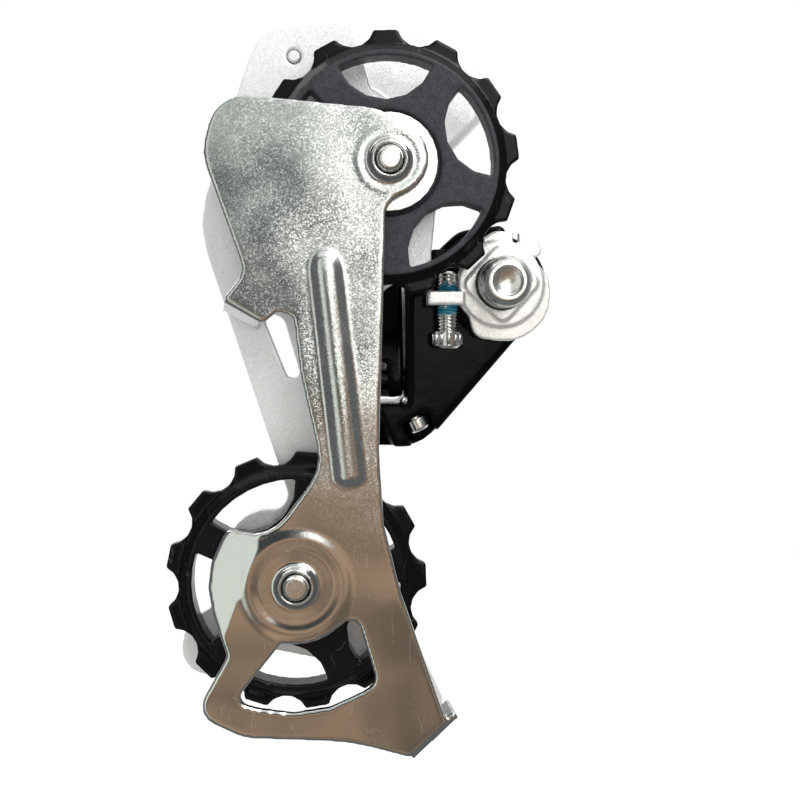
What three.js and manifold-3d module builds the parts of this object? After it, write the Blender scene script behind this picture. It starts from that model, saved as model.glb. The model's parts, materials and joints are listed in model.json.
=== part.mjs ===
// Rear bicycle derailleur with a long cage, in millimetres, +Z up.
// The origin is on the hanger bolt's axis, at the face that sits against the frame's hanger.
// +Y points outboard, away from the wheel; the pulleys and both main pivots turn about Y.
import * as THREE from 'three';
import { mergeVertices } from 'three/addons/utils/BufferGeometryUtils.js';
import Module from 'manifold-3d';

const wasm = await Module();
wasm.setup();

// ---- Driving dimensions ----------------------------------------------------------------
const RUNNING_GAP = 0.3;

// Pulleys and cage
const TEETH = 13;
const TIP_R = 25.9;
const ROOT_R = 23.3;
const GULLET_R = 4.5;
const RIDGE_R = 21.6;
const TOOTH_THICK = 2.3;
const PULLEY_THICK = 5.2;
const PULLEY_Y = -5.3;
const WINDOW_OUTER_R = 20.6;
const WINDOW_INNER_R = 12.2;
const WINDOW_HALF_ANGLE = 26.5;
const WINDOWS = 5;
const HUB_RECESS_R = 10.3;
const CAP_R = 9.5;
const BUSH_R = 4.0;
const PULLEY_BOLT_R = 2.5;
const PULLEY_SPACING = 84.2;
const GUIDE_X = -23.5;
const GUIDE_Z = 22.8;
const CAGE_TILT = THREE.MathUtils.degToRad(12.5);
const INNER_FRONT_Y = -11;
const INNER_THICK = 1.6;
const OUTER_FRONT_Y = -1.1;
const OUTER_THICK = 1.8;
const P_AXLE_LOCAL = [-9, 3];
const STOP_PIN_LOCAL = [-22.8, 17.3];
const STOP_PIN_STEM_R = 1.2;
const STOP_PIN_R = 2.3;
const STOP_PIN_END_Y = 8.6;
const STOP_LUG_REACH = 23;
const STOP_LUG_HALF = 2.5;

// Parallelogram
const LINK_LENGTH = 40;
const LINK_LEAN = THREE.MathUtils.degToRad(18);
const LINK_LEFT_X = -35.5;
const LINK_RIGHT_X = -19.5;
const CHEEK = 3.6;
const PIN_R = 2.2;
const B_PIN_Z = -20;
const ANCHOR_X = -27.6;
const ANCHOR_REACH = 29;
const RETURN_SPRING_X = -26;
const B_INNER_PIN_Y = 12;
const B_OUTER_PIN_Y = 23;

// Knuckles and hanger bolt
const BOLT_R = 5;
const BOLT_TIP_Y = -8;
const B_FRONT_Y = 6.5;
const B_BACK_Y = 29;
const B_BOSS_R = 10.5;
const P_FRONT_Y = 3;
const P_BODY_Y = 9.6;
const P_BODY_BACK_Y = 17;
const P_HOUSING_BACK_Y = 19.5;
const P_HOUSING_R = 13.6;
const AXLE_R = 4;
const TENSION_SCREW_R = 1.8;
const B_SCREW_X = -11;
const B_SCREW_Y = 1.5;

// ---- Finishes --------------------------------------------------------------------------
function finish(color, roughness, metalness) {
  return new THREE.MeshStandardMaterial({ color, roughness, metalness });
}
const ZINC = finish(0xc4c6c3, 0.3, 1);
const SILVER_PAINT = finish(0xcfd0cf, 0.45, 0.5);
const BLACK_PAINT = finish(0x101012, 0.2, 0.1);
const BLACK_NYLON = finish(0x1c1d20, 0.6, 0);
const NICKEL = finish(0xd2d0ca, 0.22, 1);
const SPRING_STEEL = finish(0x8f9194, 0.35, 1);

// ---- Geometry helpers ------------------------------------------------------------------
const ARC_STEP = THREE.MathUtils.degToRad(20);

/** Closed outline from corners [x, y, radius]; every corner is rounded with its own arc. */
function roundedShape(corners, step = ARC_STEP) {
  const points = [];
  corners.forEach(([x, y, radius], i) => {
    const corner = new THREE.Vector2(x, y);
    if (radius === 0) {
      points.push(corner);
      return;
    }
    const [px, py] = corners.at(i - 1);
    const [nx, ny] = corners[(i + 1) % corners.length];
    const back = new THREE.Vector2(px, py).sub(corner).normalize();
    const ahead = new THREE.Vector2(nx, ny).sub(corner).normalize();
    const half = Math.acos(THREE.MathUtils.clamp(back.dot(ahead), -1, 1)) / 2;
    const middle = back.clone().add(ahead).normalize();
    const centre = corner.clone().addScaledVector(middle, radius / Math.sin(half));
    const tangent = radius / Math.tan(half);
    const first = corner.clone().addScaledVector(back, tangent).sub(centre);
    const last = corner.clone().addScaledVector(ahead, tangent).sub(centre);
    const turn = Math.atan2(first.cross(last), first.dot(last));
    const count = Math.max(2, Math.ceil(Math.abs(turn) / step));
    for (let k = 0; k <= count; k += 1) {
      points.push(first.clone().rotateAround(new THREE.Vector2(), (turn * k) / count).add(centre));
    }
  });
  return new THREE.Shape(points);
}

function circleShape(radius, x = 0, y = 0, sides = 24) {
  const points = [];
  for (let k = 0; k < sides; k += 1) {
    const angle = (2 * Math.PI * k) / sides;
    points.push(new THREE.Vector2(x + radius * Math.cos(angle), y + radius * Math.sin(angle)));
  }
  return new THREE.Shape(points);
}

function extrude(shape, depth, bevel) {
  return new THREE.ExtrudeGeometry(shape, {
    depth: depth - 2 * bevel,
    bevelEnabled: bevel > 0,
    bevelThickness: bevel,
    bevelSize: bevel,
    bevelOffset: -bevel,
    bevelSegments: 1,
    curveSegments: 1,
  }).translate(0, 0, bevel);
}

/** Plate drawn in the XZ plane, from yFront to yBack. */
function plateXZ(shape, yFront, yBack, bevel = 0) {
  return extrude(shape, yBack - yFront, bevel).rotateX(Math.PI / 2).translate(0, yBack, 0);
}

/** Slab drawn in the YZ plane, from xLow to xHigh. */
function slabYZ(shape, xLow, xHigh, bevel = 0) {
  const turn = new THREE.Matrix4().makeBasis(
    new THREE.Vector3(0, 1, 0), new THREE.Vector3(0, 0, 1), new THREE.Vector3(1, 0, 0));
  return extrude(shape, xHigh - xLow, bevel).applyMatrix4(turn).translate(xLow, 0, 0);
}

/** Turned part about the Y axis from [radius, y] points that run from low y to high y. */
function turned(profile, sides = 32) {
  return new THREE.LatheGeometry(profile.map(([r, y]) => new THREE.Vector2(r, y)), sides);
}

/** Ring about the Y axis: its profile closes on itself. */
function ringY(innerR, outerR, yLow, yHigh, sides = 32) {
  return turned([[innerR, yLow], [outerR, yLow], [outerR, yHigh], [innerR, yHigh], [innerR, yLow]], sides);
}

function rodY(radius, yLow, yHigh, sides = 20) {
  return new THREE.CylinderGeometry(radius, radius, yHigh - yLow, sides).translate(0, (yLow + yHigh) / 2, 0);
}

function rodX(radius, xLow, xHigh, sides = 16) {
  return rodY(radius, xLow, xHigh, sides).rotateZ(-Math.PI / 2);
}

function box(x0, x1, y0, y1, z0, z1) {
  return new THREE.BoxGeometry(x1 - x0, y1 - y0, z1 - z0)
    .translate((x0 + x1) / 2, (y0 + y1) / 2, (z0 + z1) / 2);
}

function solid(geometry) {
  const bare = geometry.clone();
  bare.deleteAttribute('normal');
  bare.deleteAttribute('uv');
  const merged = mergeVertices(bare, 1e-4);
  return new wasm.Manifold(new wasm.Mesh({
    numProp: 3,
    vertProperties: new Float32Array(merged.attributes.position.array),
    triVerts: new Uint32Array(merged.index.array),
  }));
}

/** First geometry with the others joined to it. */
function join(first, ...others) {
  return others.reduce((sum, other) => sum.add(solid(other)), solid(first));
}

function cut(body, ...tools) {
  return tools.reduce((rest, tool) => rest.subtract(solid(tool)), body);
}

function toGeometry(body) {
  const { vertProperties, triVerts } = body.getMesh();
  const geometry = new THREE.BufferGeometry();
  geometry.setAttribute('position', new THREE.BufferAttribute(vertProperties, 3));
  geometry.setIndex(new THREE.BufferAttribute(triVerts, 1));
  geometry.computeVertexNormals();
  return geometry;
}

function piece(name, shape, material) {
  const geometry = shape instanceof THREE.BufferGeometry ? shape : toGeometry(shape);
  const mesh = new THREE.Mesh(geometry, material);
  mesh.name = name;
  return mesh;
}

/** Coil along +Y from yLow to yHigh. */
function coil(radius, wireR, yLow, yHigh, turns) {
  class Helix extends THREE.Curve {
    getPoint(t, target = new THREE.Vector3()) {
      const angle = 2 * Math.PI * turns * t;
      const y = yLow + wireR + (yHigh - yLow - 2 * wireR) * t;
      return target.set(radius * Math.cos(angle), y, radius * Math.sin(angle));
    }
  }
  const sides = 5;
  return new THREE.ExtrudeGeometry(circleShape(wireR, 0, 0, sides), {
    steps: Math.round(turns * 9),
    extrudePath: new Helix(),
    bevelEnabled: false,
  });
}

/** Socket-head or hex-head screw along Y: tip at yTip, head from yShank to yHead. */
function socketScrew(shankR, yTip, yShank, yHead, headR, socketR) {
  const chamfer = 0.5;
  const step = Math.sign(yHead - yTip);
  const profile = [
    [0, yTip], [shankR - chamfer, yTip], [shankR, yTip + step * chamfer], [shankR, yShank],
    [headR, yShank], [headR, yHead - step * chamfer], [headR - chamfer, yHead], [0, yHead],
  ];
  const blank = turned(step > 0 ? profile : profile.reverse(), 16);
  const depth = Math.abs(yHead - yShank) * 0.6;
  const socket = rodY(socketR, Math.min(yHead - step * depth, yHead + step),
    Math.max(yHead - step * depth, yHead + step), 6);
  return cut(solid(blank), socket);
}

// ---- Cage ------------------------------------------------------------------------------
function toothOutline() {
  const points = [];
  const pitch = (2 * Math.PI) / TEETH;
  const centreR = ROOT_R + GULLET_R;
  const reach = Math.acos(
    (TIP_R ** 2 + centreR ** 2 - GULLET_R ** 2) / (2 * TIP_R * centreR));
  const gulletSteps = 5;
  for (let tooth = 0; tooth < TEETH; tooth += 1) {
    const gap = pitch * (tooth + 0.5);
    const centre = new THREE.Vector2(centreR * Math.cos(gap), centreR * Math.sin(gap));
    const start = new THREE.Vector2(TIP_R * Math.cos(gap - reach), TIP_R * Math.sin(gap - reach));
    const end = new THREE.Vector2(TIP_R * Math.cos(gap + reach), TIP_R * Math.sin(gap + reach));
    const from = start.clone().sub(centre);
    const turn = Math.atan2(from.cross(end.clone().sub(centre)), from.dot(end.clone().sub(centre)));
    for (let k = 0; k <= gulletSteps; k += 1) {
      points.push(from.clone().rotateAround(new THREE.Vector2(), (turn * k) / gulletSteps).add(centre));
    }
  }
  return new THREE.Shape(points);
}

function windowShape(angle) {
  const half = THREE.MathUtils.degToRad(WINDOW_HALF_ANGLE);
  const tipX = WINDOW_OUTER_R * Math.cos(half);
  const tipY = WINDOW_OUTER_R * Math.sin(half);
  const innerCentre = (tipX ** 2 + tipY ** 2 - WINDOW_INNER_R ** 2) / (2 * (tipX - WINDOW_INNER_R));
  const innerR = innerCentre - WINDOW_INNER_R;
  const innerHalf = Math.atan2(tipY, innerCentre - tipX);
  const steps = 6;
  const points = [];
  for (let k = 0; k <= steps; k += 1) {
    const a = half - (2 * half * k) / steps;
    points.push(new THREE.Vector2(WINDOW_OUTER_R * Math.cos(a), WINDOW_OUTER_R * Math.sin(a)));
  }
  for (let k = 1; k < steps; k += 1) {
    const a = -innerHalf + (2 * innerHalf * k) / steps;
    points.push(new THREE.Vector2(innerCentre - innerR * Math.cos(a), innerR * Math.sin(a)));
  }
  return new THREE.Shape(points.map((p) => p.rotateAround(new THREE.Vector2(), angle)));
}

function pulleySolid(toothAngle, windowAngle) {
  const low = PULLEY_Y - PULLEY_THICK / 2;
  const high = PULLEY_Y + PULLEY_THICK / 2;
  const toothLow = PULLEY_Y - TOOTH_THICK / 2;
  const toothHigh = PULLEY_Y + TOOTH_THICK / 2;
  const shoulderR = ROOT_R - 0.3;
  const boreR = BUSH_R + RUNNING_GAP;
  const recessDepth = 0.8;
  const teeth = plateXZ(toothOutline(), toothLow, toothHigh).rotateY(-toothAngle);
  const disc = turned([[0, low], [RIDGE_R, low], [shoulderR, toothLow - 0.2], [shoulderR, toothHigh + 0.2],
    [RIDGE_R, high], [0, high]], 40);
  const windows = Array.from({ length: WINDOWS }, (_, k) => plateXZ(
    windowShape(windowAngle + (2 * Math.PI * k) / WINDOWS), low - 1, high + 1));
  return cut(join(disc, teeth), ...windows, rodY(boreR, low - 1, high + 1),
    rodY(HUB_RECESS_R, low - 1, low + recessDepth, 32), rodY(HUB_RECESS_R, high - recessDepth, high + 1, 32));
}

/** Pulley, bush, two dust caps and bolt, all about one axis. */
function pulleySet(name, bodyGap, toothAngle, windowAngle) {
  const low = PULLEY_Y - PULLEY_THICK / 2;
  const high = PULLEY_Y + PULLEY_THICK / 2;
  const clearR = PULLEY_BOLT_R + RUNNING_GAP;
  const innerPlateBack = INNER_FRONT_Y + INNER_THICK;
  const capLow = innerPlateBack + bodyGap;
  const capHigh = OUTER_FRONT_Y - bodyGap;
  const outerBack = OUTER_FRONT_Y + OUTER_THICK;
  return [
    piece(`${name}_pulley`, pulleySolid(toothAngle, windowAngle), BLACK_NYLON),
    piece(`${name}_bush`, ringY(clearR, BUSH_R, low + 0.5, high - 0.5, 24), SPRING_STEEL),
    piece(`${name}_cap_inner`, ringY(clearR, CAP_R, capLow, low + 0.2, 28), NICKEL),
    piece(`${name}_cap_outer`, ringY(clearR, CAP_R, high - 0.2, capHigh, 28), NICKEL),
    piece(`${name}_bolt`, socketScrew(PULLEY_BOLT_R, INNER_FRONT_Y - 2, outerBack + 0.2,
      outerBack + 1.7, 4.4, 1.4), NICKEL),
  ];
}

function boltHoles(radius, yLow, yHigh) {
  return [rodY(radius, yLow, yHigh), rodY(radius, yLow, yHigh).translate(0, 0, -PULLEY_SPACING)];
}

const INNER_OUTLINE = [
  [-34.6, 4.9, 7], [-4, 9.1, 10], [14.6, 3.2, 6.9], [1.1, -8.1, 4], [12.8, -69.2, 80],
  [34.7, -104.7, 0.6], [28.9, -113.1, 0.6], [17, -112.3, 40], [-3.5, -115.6, 9], [-14, -113, 4],
  [-10.2, -100.4, 2], [-18.9, -85.9, 17.2], [-15.3, -76, 1.5], [-7, -76.2, 8], [-0.1, -60.5, 9],
  [-8, -43.6, 10], [-11.6, -33.2, 1.6], [-14.7, -32.9, 0.8], [-16.7, -35.4, 0], [-25.2, -32.6, 0.5],
  [-22.4, -27, 4], [-35, -6.8, 9],
];
const INNER_HOLE = [
  [-0.2, -95.3, 1.6], [7.5, -94.5, 11], [12.3, -86.6, 2], [19.6, -99.8, 2.6],
  [9.2, -110.1, 25.2], [-7, -109, 1.8],
];

const RIB_TOP = [-8.4, -20.2];
const RIB_RUN = [14.4, -41];
const RIB_HALF = 2.2;
const RIB_RISE = 0.8;
const GROOVE_HALF = 1.4;
const COLLAR_R = 3.7;
const COLLAR_RISE = 1.2;
const CHAIN_TAB = { corner: [-25, -33.3], run: [8.4, -2.6], length: 8, reach: 5.2, thick: 1.5, splay: 0.35 };
const END_FLANGE = {
  corner: [28.8, -112.6], run: [5.7, 8.2], length: 12.2, reach: 6, thick: 1.5, splay: 0.2,
};

/** Strip bent back from the inner plate's edge; side is 1 where its thickness is to the left of its run. */
function bentStrip({ corner, run, length, reach, thick, splay }, side) {
  const back = INNER_FRONT_Y + INNER_THICK;
  const strip = side > 0 ? box(0, length, 0, reach, 0, thick) : box(0, length, 0, reach, -thick, 0);
  return strip.rotateX(-side * splay).rotateY(-Math.atan2(run[1], run[0]))
    .translate(corner[0], back - 1.4, corner[1]);
}

/** Bright steel plate on the wheel side, with its pressed rib, chain tab and end flange. */
function innerCagePlate() {
  const back = INNER_FRONT_Y + INNER_THICK;
  const sheet = plateXZ(roundedShape(INNER_OUTLINE), INNER_FRONT_Y, back);
  const collar = rodY(COLLAR_R, INNER_FRONT_Y - COLLAR_RISE, back - 0.5);
  const ribAngle = Math.atan2(RIB_RUN[0], -RIB_RUN[1]);
  const ribLength = Math.hypot(...RIB_RUN);
  const grooveEnd = RIB_HALF - ribLength;
  const [ribX, ribZ] = RIB_TOP;
  const rib = plateXZ(roundedShape([[-RIB_HALF, 0, 2.1], [RIB_HALF, 0, 2.1],
    [RIB_HALF, -ribLength, 0.7], [-RIB_HALF, -ribLength, 0.7]]),
  INNER_FRONT_Y - RIB_RISE, INNER_FRONT_Y + 0.4, 0.5).rotateY(-ribAngle).translate(ribX, 0, ribZ);
  const groove = plateXZ(roundedShape([[-GROOVE_HALF, 0, 1.3], [GROOVE_HALF, 0, 1.3],
    [GROOVE_HALF, grooveEnd, 0.5], [-GROOVE_HALF, grooveEnd, 0.5]]),
  back - 1.2, back + 1).rotateY(-ribAngle).translate(ribX - 0.4, 0, ribZ - 1.2);
  return cut(join(sheet, collar, collar.clone().translate(0, 0, -PULLEY_SPACING), rib,
    bentStrip(CHAIN_TAB, 1), bentStrip(END_FLANGE, -1)),
  plateXZ(roundedShape(INNER_HOLE), INNER_FRONT_Y - 3, back + 3), groove,
  ...boltHoles(PULLEY_BOLT_R + RUNNING_GAP, INNER_FRONT_Y - 3, back + 3));
}

const OUTER_OUTLINE = [
  [-32, 11, 16], [-30.5, 21.5, 9], [-13, 26.8, 2.4], [-6.5, 14.5, 6], [2, 8.6, 3], [10.2, 4.5, 8],
  [12.8, -18, 4], [2.5, -24.5, 8], [6, -50, 40], [10, -71.5, 12], [16.4, -79, 12], [34.8, -103.4, 1],
  [35.2, -107, 2], [30.2, -108.2, 2], [9.5, -100.3, 10], [-4, -100.3, 8], [-18, -113.5, 5.5],
  [-20.8, -99, 8], [-14.2, -92.5, 6], [-15.8, -73, 8], [-3.6, -71.5, 3], [-34.5, -19.3, 18],
];
const OUTER_SLOT = [[-19.2, -32.5, 1.5], [-13.8, -33.9, 2.2], [-8, -44.5, 1], [-10.5, -45.3, 1]];

/** Painted plate on the outboard side; it carries the pivot axle and the stop pin. */
function outerCagePlate() {
  const back = OUTER_FRONT_Y + OUTER_THICK;
  const [axleX, axleZ] = P_AXLE_LOCAL;
  const [pinX, pinZ] = STOP_PIN_LOCAL;
  return cut(join(plateXZ(roundedShape(OUTER_OUTLINE), OUTER_FRONT_Y, back)),
    plateXZ(roundedShape(OUTER_SLOT), OUTER_FRONT_Y - 1, back + 1),
    ...boltHoles(PULLEY_BOLT_R + RUNNING_GAP, OUTER_FRONT_Y - 1, back + 1),
    rodY(AXLE_R, OUTER_FRONT_Y - 1, back + 1).translate(axleX, 0, axleZ),
    rodY(STOP_PIN_STEM_R + RUNNING_GAP, OUTER_FRONT_Y - 1, back + 1).translate(pinX, 0, pinZ));
}

function cageStopPin() {
  const [x, z] = STOP_PIN_LOCAL;
  const plateBack = OUTER_FRONT_Y + OUTER_THICK;
  const pin = turned([[0, OUTER_FRONT_Y - 0.2], [STOP_PIN_STEM_R - 0.3, OUTER_FRONT_Y - 0.2],
    [STOP_PIN_STEM_R, OUTER_FRONT_Y], [STOP_PIN_STEM_R, plateBack + RUNNING_GAP],
    [STOP_PIN_R, plateBack + RUNNING_GAP],
    [STOP_PIN_R, STOP_PIN_END_Y], [0, STOP_PIN_END_Y]], 20);
  return piece('cage_stop_pin', pin.translate(x, 0, z), NICKEL);
}

const AXLE_HEAD_R = 6;
const AXLE_HEAD_THICK = 2.4;
const AXLE_SOCKET_R = 2.9;

/** Axle that the cage turns on, from the outer plate to its socket head outboard. */
function pivotAxle() {
  const [x, z] = P_AXLE_LOCAL;
  const plateBack = OUTER_FRONT_Y + OUTER_THICK;
  const stemR = AXLE_R - RUNNING_GAP;
  const headBack = P_HOUSING_BACK_Y - 0.4;
  const headLow = headBack - AXLE_HEAD_THICK;
  const blank = turned([[0, OUTER_FRONT_Y - 0.3], [stemR, OUTER_FRONT_Y - 0.3], [stemR, plateBack + 0.3],
    [stemR + 0.6, plateBack + 0.3], [stemR + 0.6, P_FRONT_Y + 0.4], [stemR, P_FRONT_Y + 0.4],
    [stemR, headLow], [AXLE_HEAD_R, headLow], [AXLE_HEAD_R, headBack], [0, headBack]], 24);
  const axle = cut(solid(blank), rodY(AXLE_SOCKET_R, headBack - 1.8, headBack + 1, 6));
  return piece('p_axle', toGeometry(axle).translate(x, 0, z), NICKEL);
}

function cageGroup() {
  const cage = new THREE.Group();
  cage.position.set(GUIDE_X, 0, GUIDE_Z);
  cage.rotation.y = CAGE_TILT;
  const toRad = THREE.MathUtils.degToRad;
  const guide = pulleySet('guide', 0.4, toRad(103.7), toRad(32.5));
  const tension = pulleySet('tension', 0.4, toRad(97.5), toRad(129.5));
  const tensionGroup = new THREE.Group();
  tensionGroup.position.z = -PULLEY_SPACING;
  tensionGroup.add(...tension);
  cage.add(piece('inner_cage_plate', innerCagePlate(), ZINC),
    piece('outer_cage_plate', outerCagePlate(), SILVER_PAINT),
    cageStopPin(), pivotAxle(), ...guide, tensionGroup);
  return cage;
}

/** Place of the cage's pivot axle, as [x, z]. */
function pivotPlace() {
  const [u, v] = P_AXLE_LOCAL;
  return [
    GUIDE_X + u * Math.cos(CAGE_TILT) + v * Math.sin(CAGE_TILT),
    GUIDE_Z - u * Math.sin(CAGE_TILT) + v * Math.cos(CAGE_TILT),
  ];
}

/** Angle in the XZ plane of the lug that the stop pin rests on, seen from the cage axle. */
function stopLugAngle() {
  const armX = STOP_PIN_LOCAL[0] - P_AXLE_LOCAL[0];
  const armZ = STOP_PIN_LOCAL[1] - P_AXLE_LOCAL[1];
  const apart = STOP_PIN_R + STOP_LUG_HALF + RUNNING_GAP;
  return Math.atan2(armZ, armX) - CAGE_TILT + Math.asin(apart / Math.hypot(armX, armZ));
}

// ---- Cage knuckle ----------------------------------------------------------------------
const P_OUTLINE = [
  [-46.2, 46.5, 12], [-10.6, 61.6, 21.8], [1, 39.2, 4.5], [-15.5, 22.2, 5], [-15.5, 12, 2.5],
  [-39.1, 12, 2.5], [-46.2, 17, 8],
];

const CHEEK_LOW_Z = 12.4;
const CHEEK_HIGH_Z = 25;
const CHEEK_OUTBOARD = 4.4;
const BRIDGE = { inboardY: 26, lowZ: 22.9, short: 0.9 };
const P_CAVITY_R = 9.6;
const P_CAVITY_BACK_Y = 15.5;

/** Where the outboard pins sit on the cage knuckle, as {y, z}. */
function knucklePins() {
  const rise = LINK_LENGTH * Math.cos(LINK_LEAN);
  const shift = LINK_LENGTH * Math.sin(LINK_LEAN);
  return [B_INNER_PIN_Y, B_OUTER_PIN_Y].map((y) => ({ y: y + shift, z: B_PIN_Z + rise }));
}

function cheekShape(pins, inboardY, lowZ, highZ) {
  const outboardY = pins[1].y + CHEEK_OUTBOARD;
  return roundedShape([
    [inboardY, lowZ, 2], [outboardY, lowZ, 4], [outboardY, highZ, 4], [inboardY, highZ, 2]]);
}

function cageKnuckle() {
  const [x, z] = pivotPlace();
  const pins = knucklePins();
  const leftX = LINK_LEFT_X - RUNNING_GAP;
  const rightX = LINK_RIGHT_X + RUNNING_GAP;
  const body = plateXZ(roundedShape(P_OUTLINE), P_BODY_Y, P_BODY_BACK_Y, 1.2);
  const housing = turned([[0, P_FRONT_Y], [P_HOUSING_R, P_FRONT_Y], [P_HOUSING_R, P_HOUSING_BACK_Y - 1.5],
    [P_HOUSING_R - 1.5, P_HOUSING_BACK_Y], [0, P_HOUSING_BACK_Y]], 36).translate(x, 0, z);
  const cheek = cheekShape(pins, P_BODY_Y + 0.4, CHEEK_LOW_Z, CHEEK_HIGH_Z);
  const left = slabYZ(cheek, leftX - CHEEK, leftX, 0.5);
  const right = slabYZ(cheek, rightX, rightX + CHEEK, 0.5);
  const bridge = box(leftX - 2, rightX + 2, BRIDGE.inboardY, pins[1].y + CHEEK_OUTBOARD - BRIDGE.short,
    BRIDGE.lowZ, CHEEK_HIGH_Z);
  const lug = box(P_HOUSING_R - 1, STOP_LUG_REACH, P_FRONT_Y + 0.4, P_BODY_Y + 1,
    -STOP_LUG_HALF, STOP_LUG_HALF)
    .rotateY(-stopLugAngle()).translate(x, 0, z);
  const pinHoles = pins.map((pin) => rodX(PIN_R + RUNNING_GAP, -60, 0).translate(0, pin.y, pin.z));
  return cut(join(body, housing, left, right, bridge, lug),
    rodY(P_CAVITY_R, P_FRONT_Y - 1, P_CAVITY_BACK_Y, 32).translate(x, 0, z),
    rodY(AXLE_R, 0, 30).translate(x, 0, z),
    rodY(AXLE_HEAD_R + RUNNING_GAP, P_HOUSING_BACK_Y - AXLE_HEAD_THICK - 0.7, 30).translate(x, 0, z),
    ...pinHoles);
}

/** Headed pin across both cheeks of a knuckle. */
function linkPin(name, y, z, headed) {
  const endLeft = LINK_LEFT_X - RUNNING_GAP - CHEEK;
  const endRight = LINK_RIGHT_X + RUNNING_GAP + CHEEK;
  const high = headed ? endRight + 0.9 : endRight - 0.4;
  const headR = headed ? 3.1 : PIN_R;
  const profile = [[0, endLeft - 0.9], [2.4, endLeft - 0.9], [3.1, endLeft - 0.3], [PIN_R, endLeft - 0.3],
    [PIN_R, endRight + 0.3], [headR, endRight + 0.3], [headR - 0.6, high], [0, high]];
  const blind = profile.slice(0, 4).concat([[PIN_R, high], [0, high]]);
  return piece(name, turned(headed ? profile : blind, 16).rotateZ(-Math.PI / 2).translate(0, y, z), NICKEL);
}

function cageKnuckleGroup() {
  const [x, z] = pivotPlace();
  const pins = knucklePins();
  const group = new THREE.Group();
  group.add(
    piece('p_knuckle', cageKnuckle(), SILVER_PAINT),
    piece('p_spring', coil(7, 0.95, 4.7, 15.2, 4).translate(x, 0, z), SPRING_STEEL),
    piece('p_seal', ringY(4.7, 9.3, P_FRONT_Y + 0.2, P_FRONT_Y + 1.3, 28).translate(x, 0, z), BLACK_NYLON),
    linkPin('p_inner_pin', pins[0].y, pins[0].z, true),
    linkPin('p_outer_pin', pins[1].y, pins[1].z, true));
  return group;
}

// ---- Links -----------------------------------------------------------------------------
const OUTER_EAR = 2.6;
const INNER_EAR = 3.4;
const WEB_FRONT = -1.6;
const PIN_CLEARANCE = 3.2;

/** Bowed painted cover with an ear on each side; local Z runs from pin to pin. */
function outerLink() {
  const cover = roundedShape([[-4, -4, 4], [3.4, -4.4, 3.4], [6.4, 8, 24], [6.4, 32, 24],
    [3.4, 44.4, 3.4], [-4, 44, 4], [-4, 32, 4], [-0.5, 27, 4], [-0.5, 13, 4], [-4, 8, 4]]);
  const pocket = roundedShape([
    [-8, -9, 0], [1.2, -9, 1], [3.4, 8, 18], [3.4, 32, 18], [1.2, 49, 1], [-8, 49, 0]]);
  const pinHoles = [0, LINK_LENGTH].map((z) => rodX(PIN_R + RUNNING_GAP, -60, 0).translate(0, 0, z));
  const anchorHole = rodY(2.8, 0, 12).translate(ANCHOR_X, 0, ANCHOR_REACH);
  return cut(join(slabYZ(cover, LINK_LEFT_X, LINK_RIGHT_X, 0.8)),
    slabYZ(pocket, LINK_LEFT_X + OUTER_EAR, LINK_RIGHT_X - OUTER_EAR), ...pinHoles, anchorHole);
}

/** Black inner link: an H of two ears and a thin web. */
function innerLink() {
  const bar = roundedShape([[-3.7, -3.7, 3.7], [3.7, -3.7, 3.7], [3.7, 4, 3], [1.6, 9, 4], [1.6, 31, 4],
    [3.7, 36, 3], [3.7, 43.7, 3.7], [-3.7, 43.7, 3.7]]);
  const pinHoles = [0, LINK_LENGTH].map((z) => rodX(PIN_R + RUNNING_GAP, -60, 0).translate(0, 0, z));
  const pocketLeft = LINK_LEFT_X + INNER_EAR;
  const pocketRight = LINK_RIGHT_X - INNER_EAR;
  const webTop = LINK_LENGTH - PIN_CLEARANCE;
  return cut(join(slabYZ(bar, LINK_LEFT_X, LINK_RIGHT_X, 0.5)),
    box(pocketLeft, pocketRight, WEB_FRONT, 8, -8, LINK_LENGTH + 8),
    box(pocketLeft, pocketRight, -8, 8, -8, PIN_CLEARANCE),
    box(pocketLeft, pocketRight, -8, 8, webTop, LINK_LENGTH + 8), ...pinHoles);
}

function linkGroup(pinY) {
  const group = new THREE.Group();
  group.position.set(0, pinY, B_PIN_Z);
  group.rotation.x = -LINK_LEAN;
  return group;
}

function returnSpring() {
  const [nearPin] = knucklePins();
  const start = new THREE.Vector2(B_OUTER_PIN_Y, B_PIN_Z);
  const along = new THREE.Vector2(nearPin.y, nearPin.z).sub(start);
  const hookR = PIN_R + 1.1;
  const body = coil(2.3, 0.6, hookR + 1, along.length() - hookR - 1, 12);
  const lean = Math.atan2(along.x, along.y);
  return piece('return_spring', body.rotateX(Math.PI / 2).rotateX(-lean)
    .translate(RETURN_SPRING_X, start.x, start.y), SPRING_STEEL);
}

function linkGroups() {
  const outer = linkGroup(B_OUTER_PIN_Y);
  const anchor = new THREE.Group();
  anchor.position.set(ANCHOR_X, 0, ANCHOR_REACH);
  anchor.add(
    piece('cable_anchor_bolt', socketScrew(2.5, -1.8, 6.6, 10.4, 4.2, 1.9), NICKEL),
    piece('cable_clamp_washer', ringY(2.8, 4.6, 0.9, 2.6, 20), ZINC));
  outer.add(piece('outer_link', outerLink(), SILVER_PAINT), anchor);
  const inner = linkGroup(B_INNER_PIN_Y);
  inner.add(piece('inner_link', innerLink(), BLACK_PAINT));
  const group = new THREE.Group();
  group.add(outer, inner, returnSpring());
  return group;
}

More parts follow.
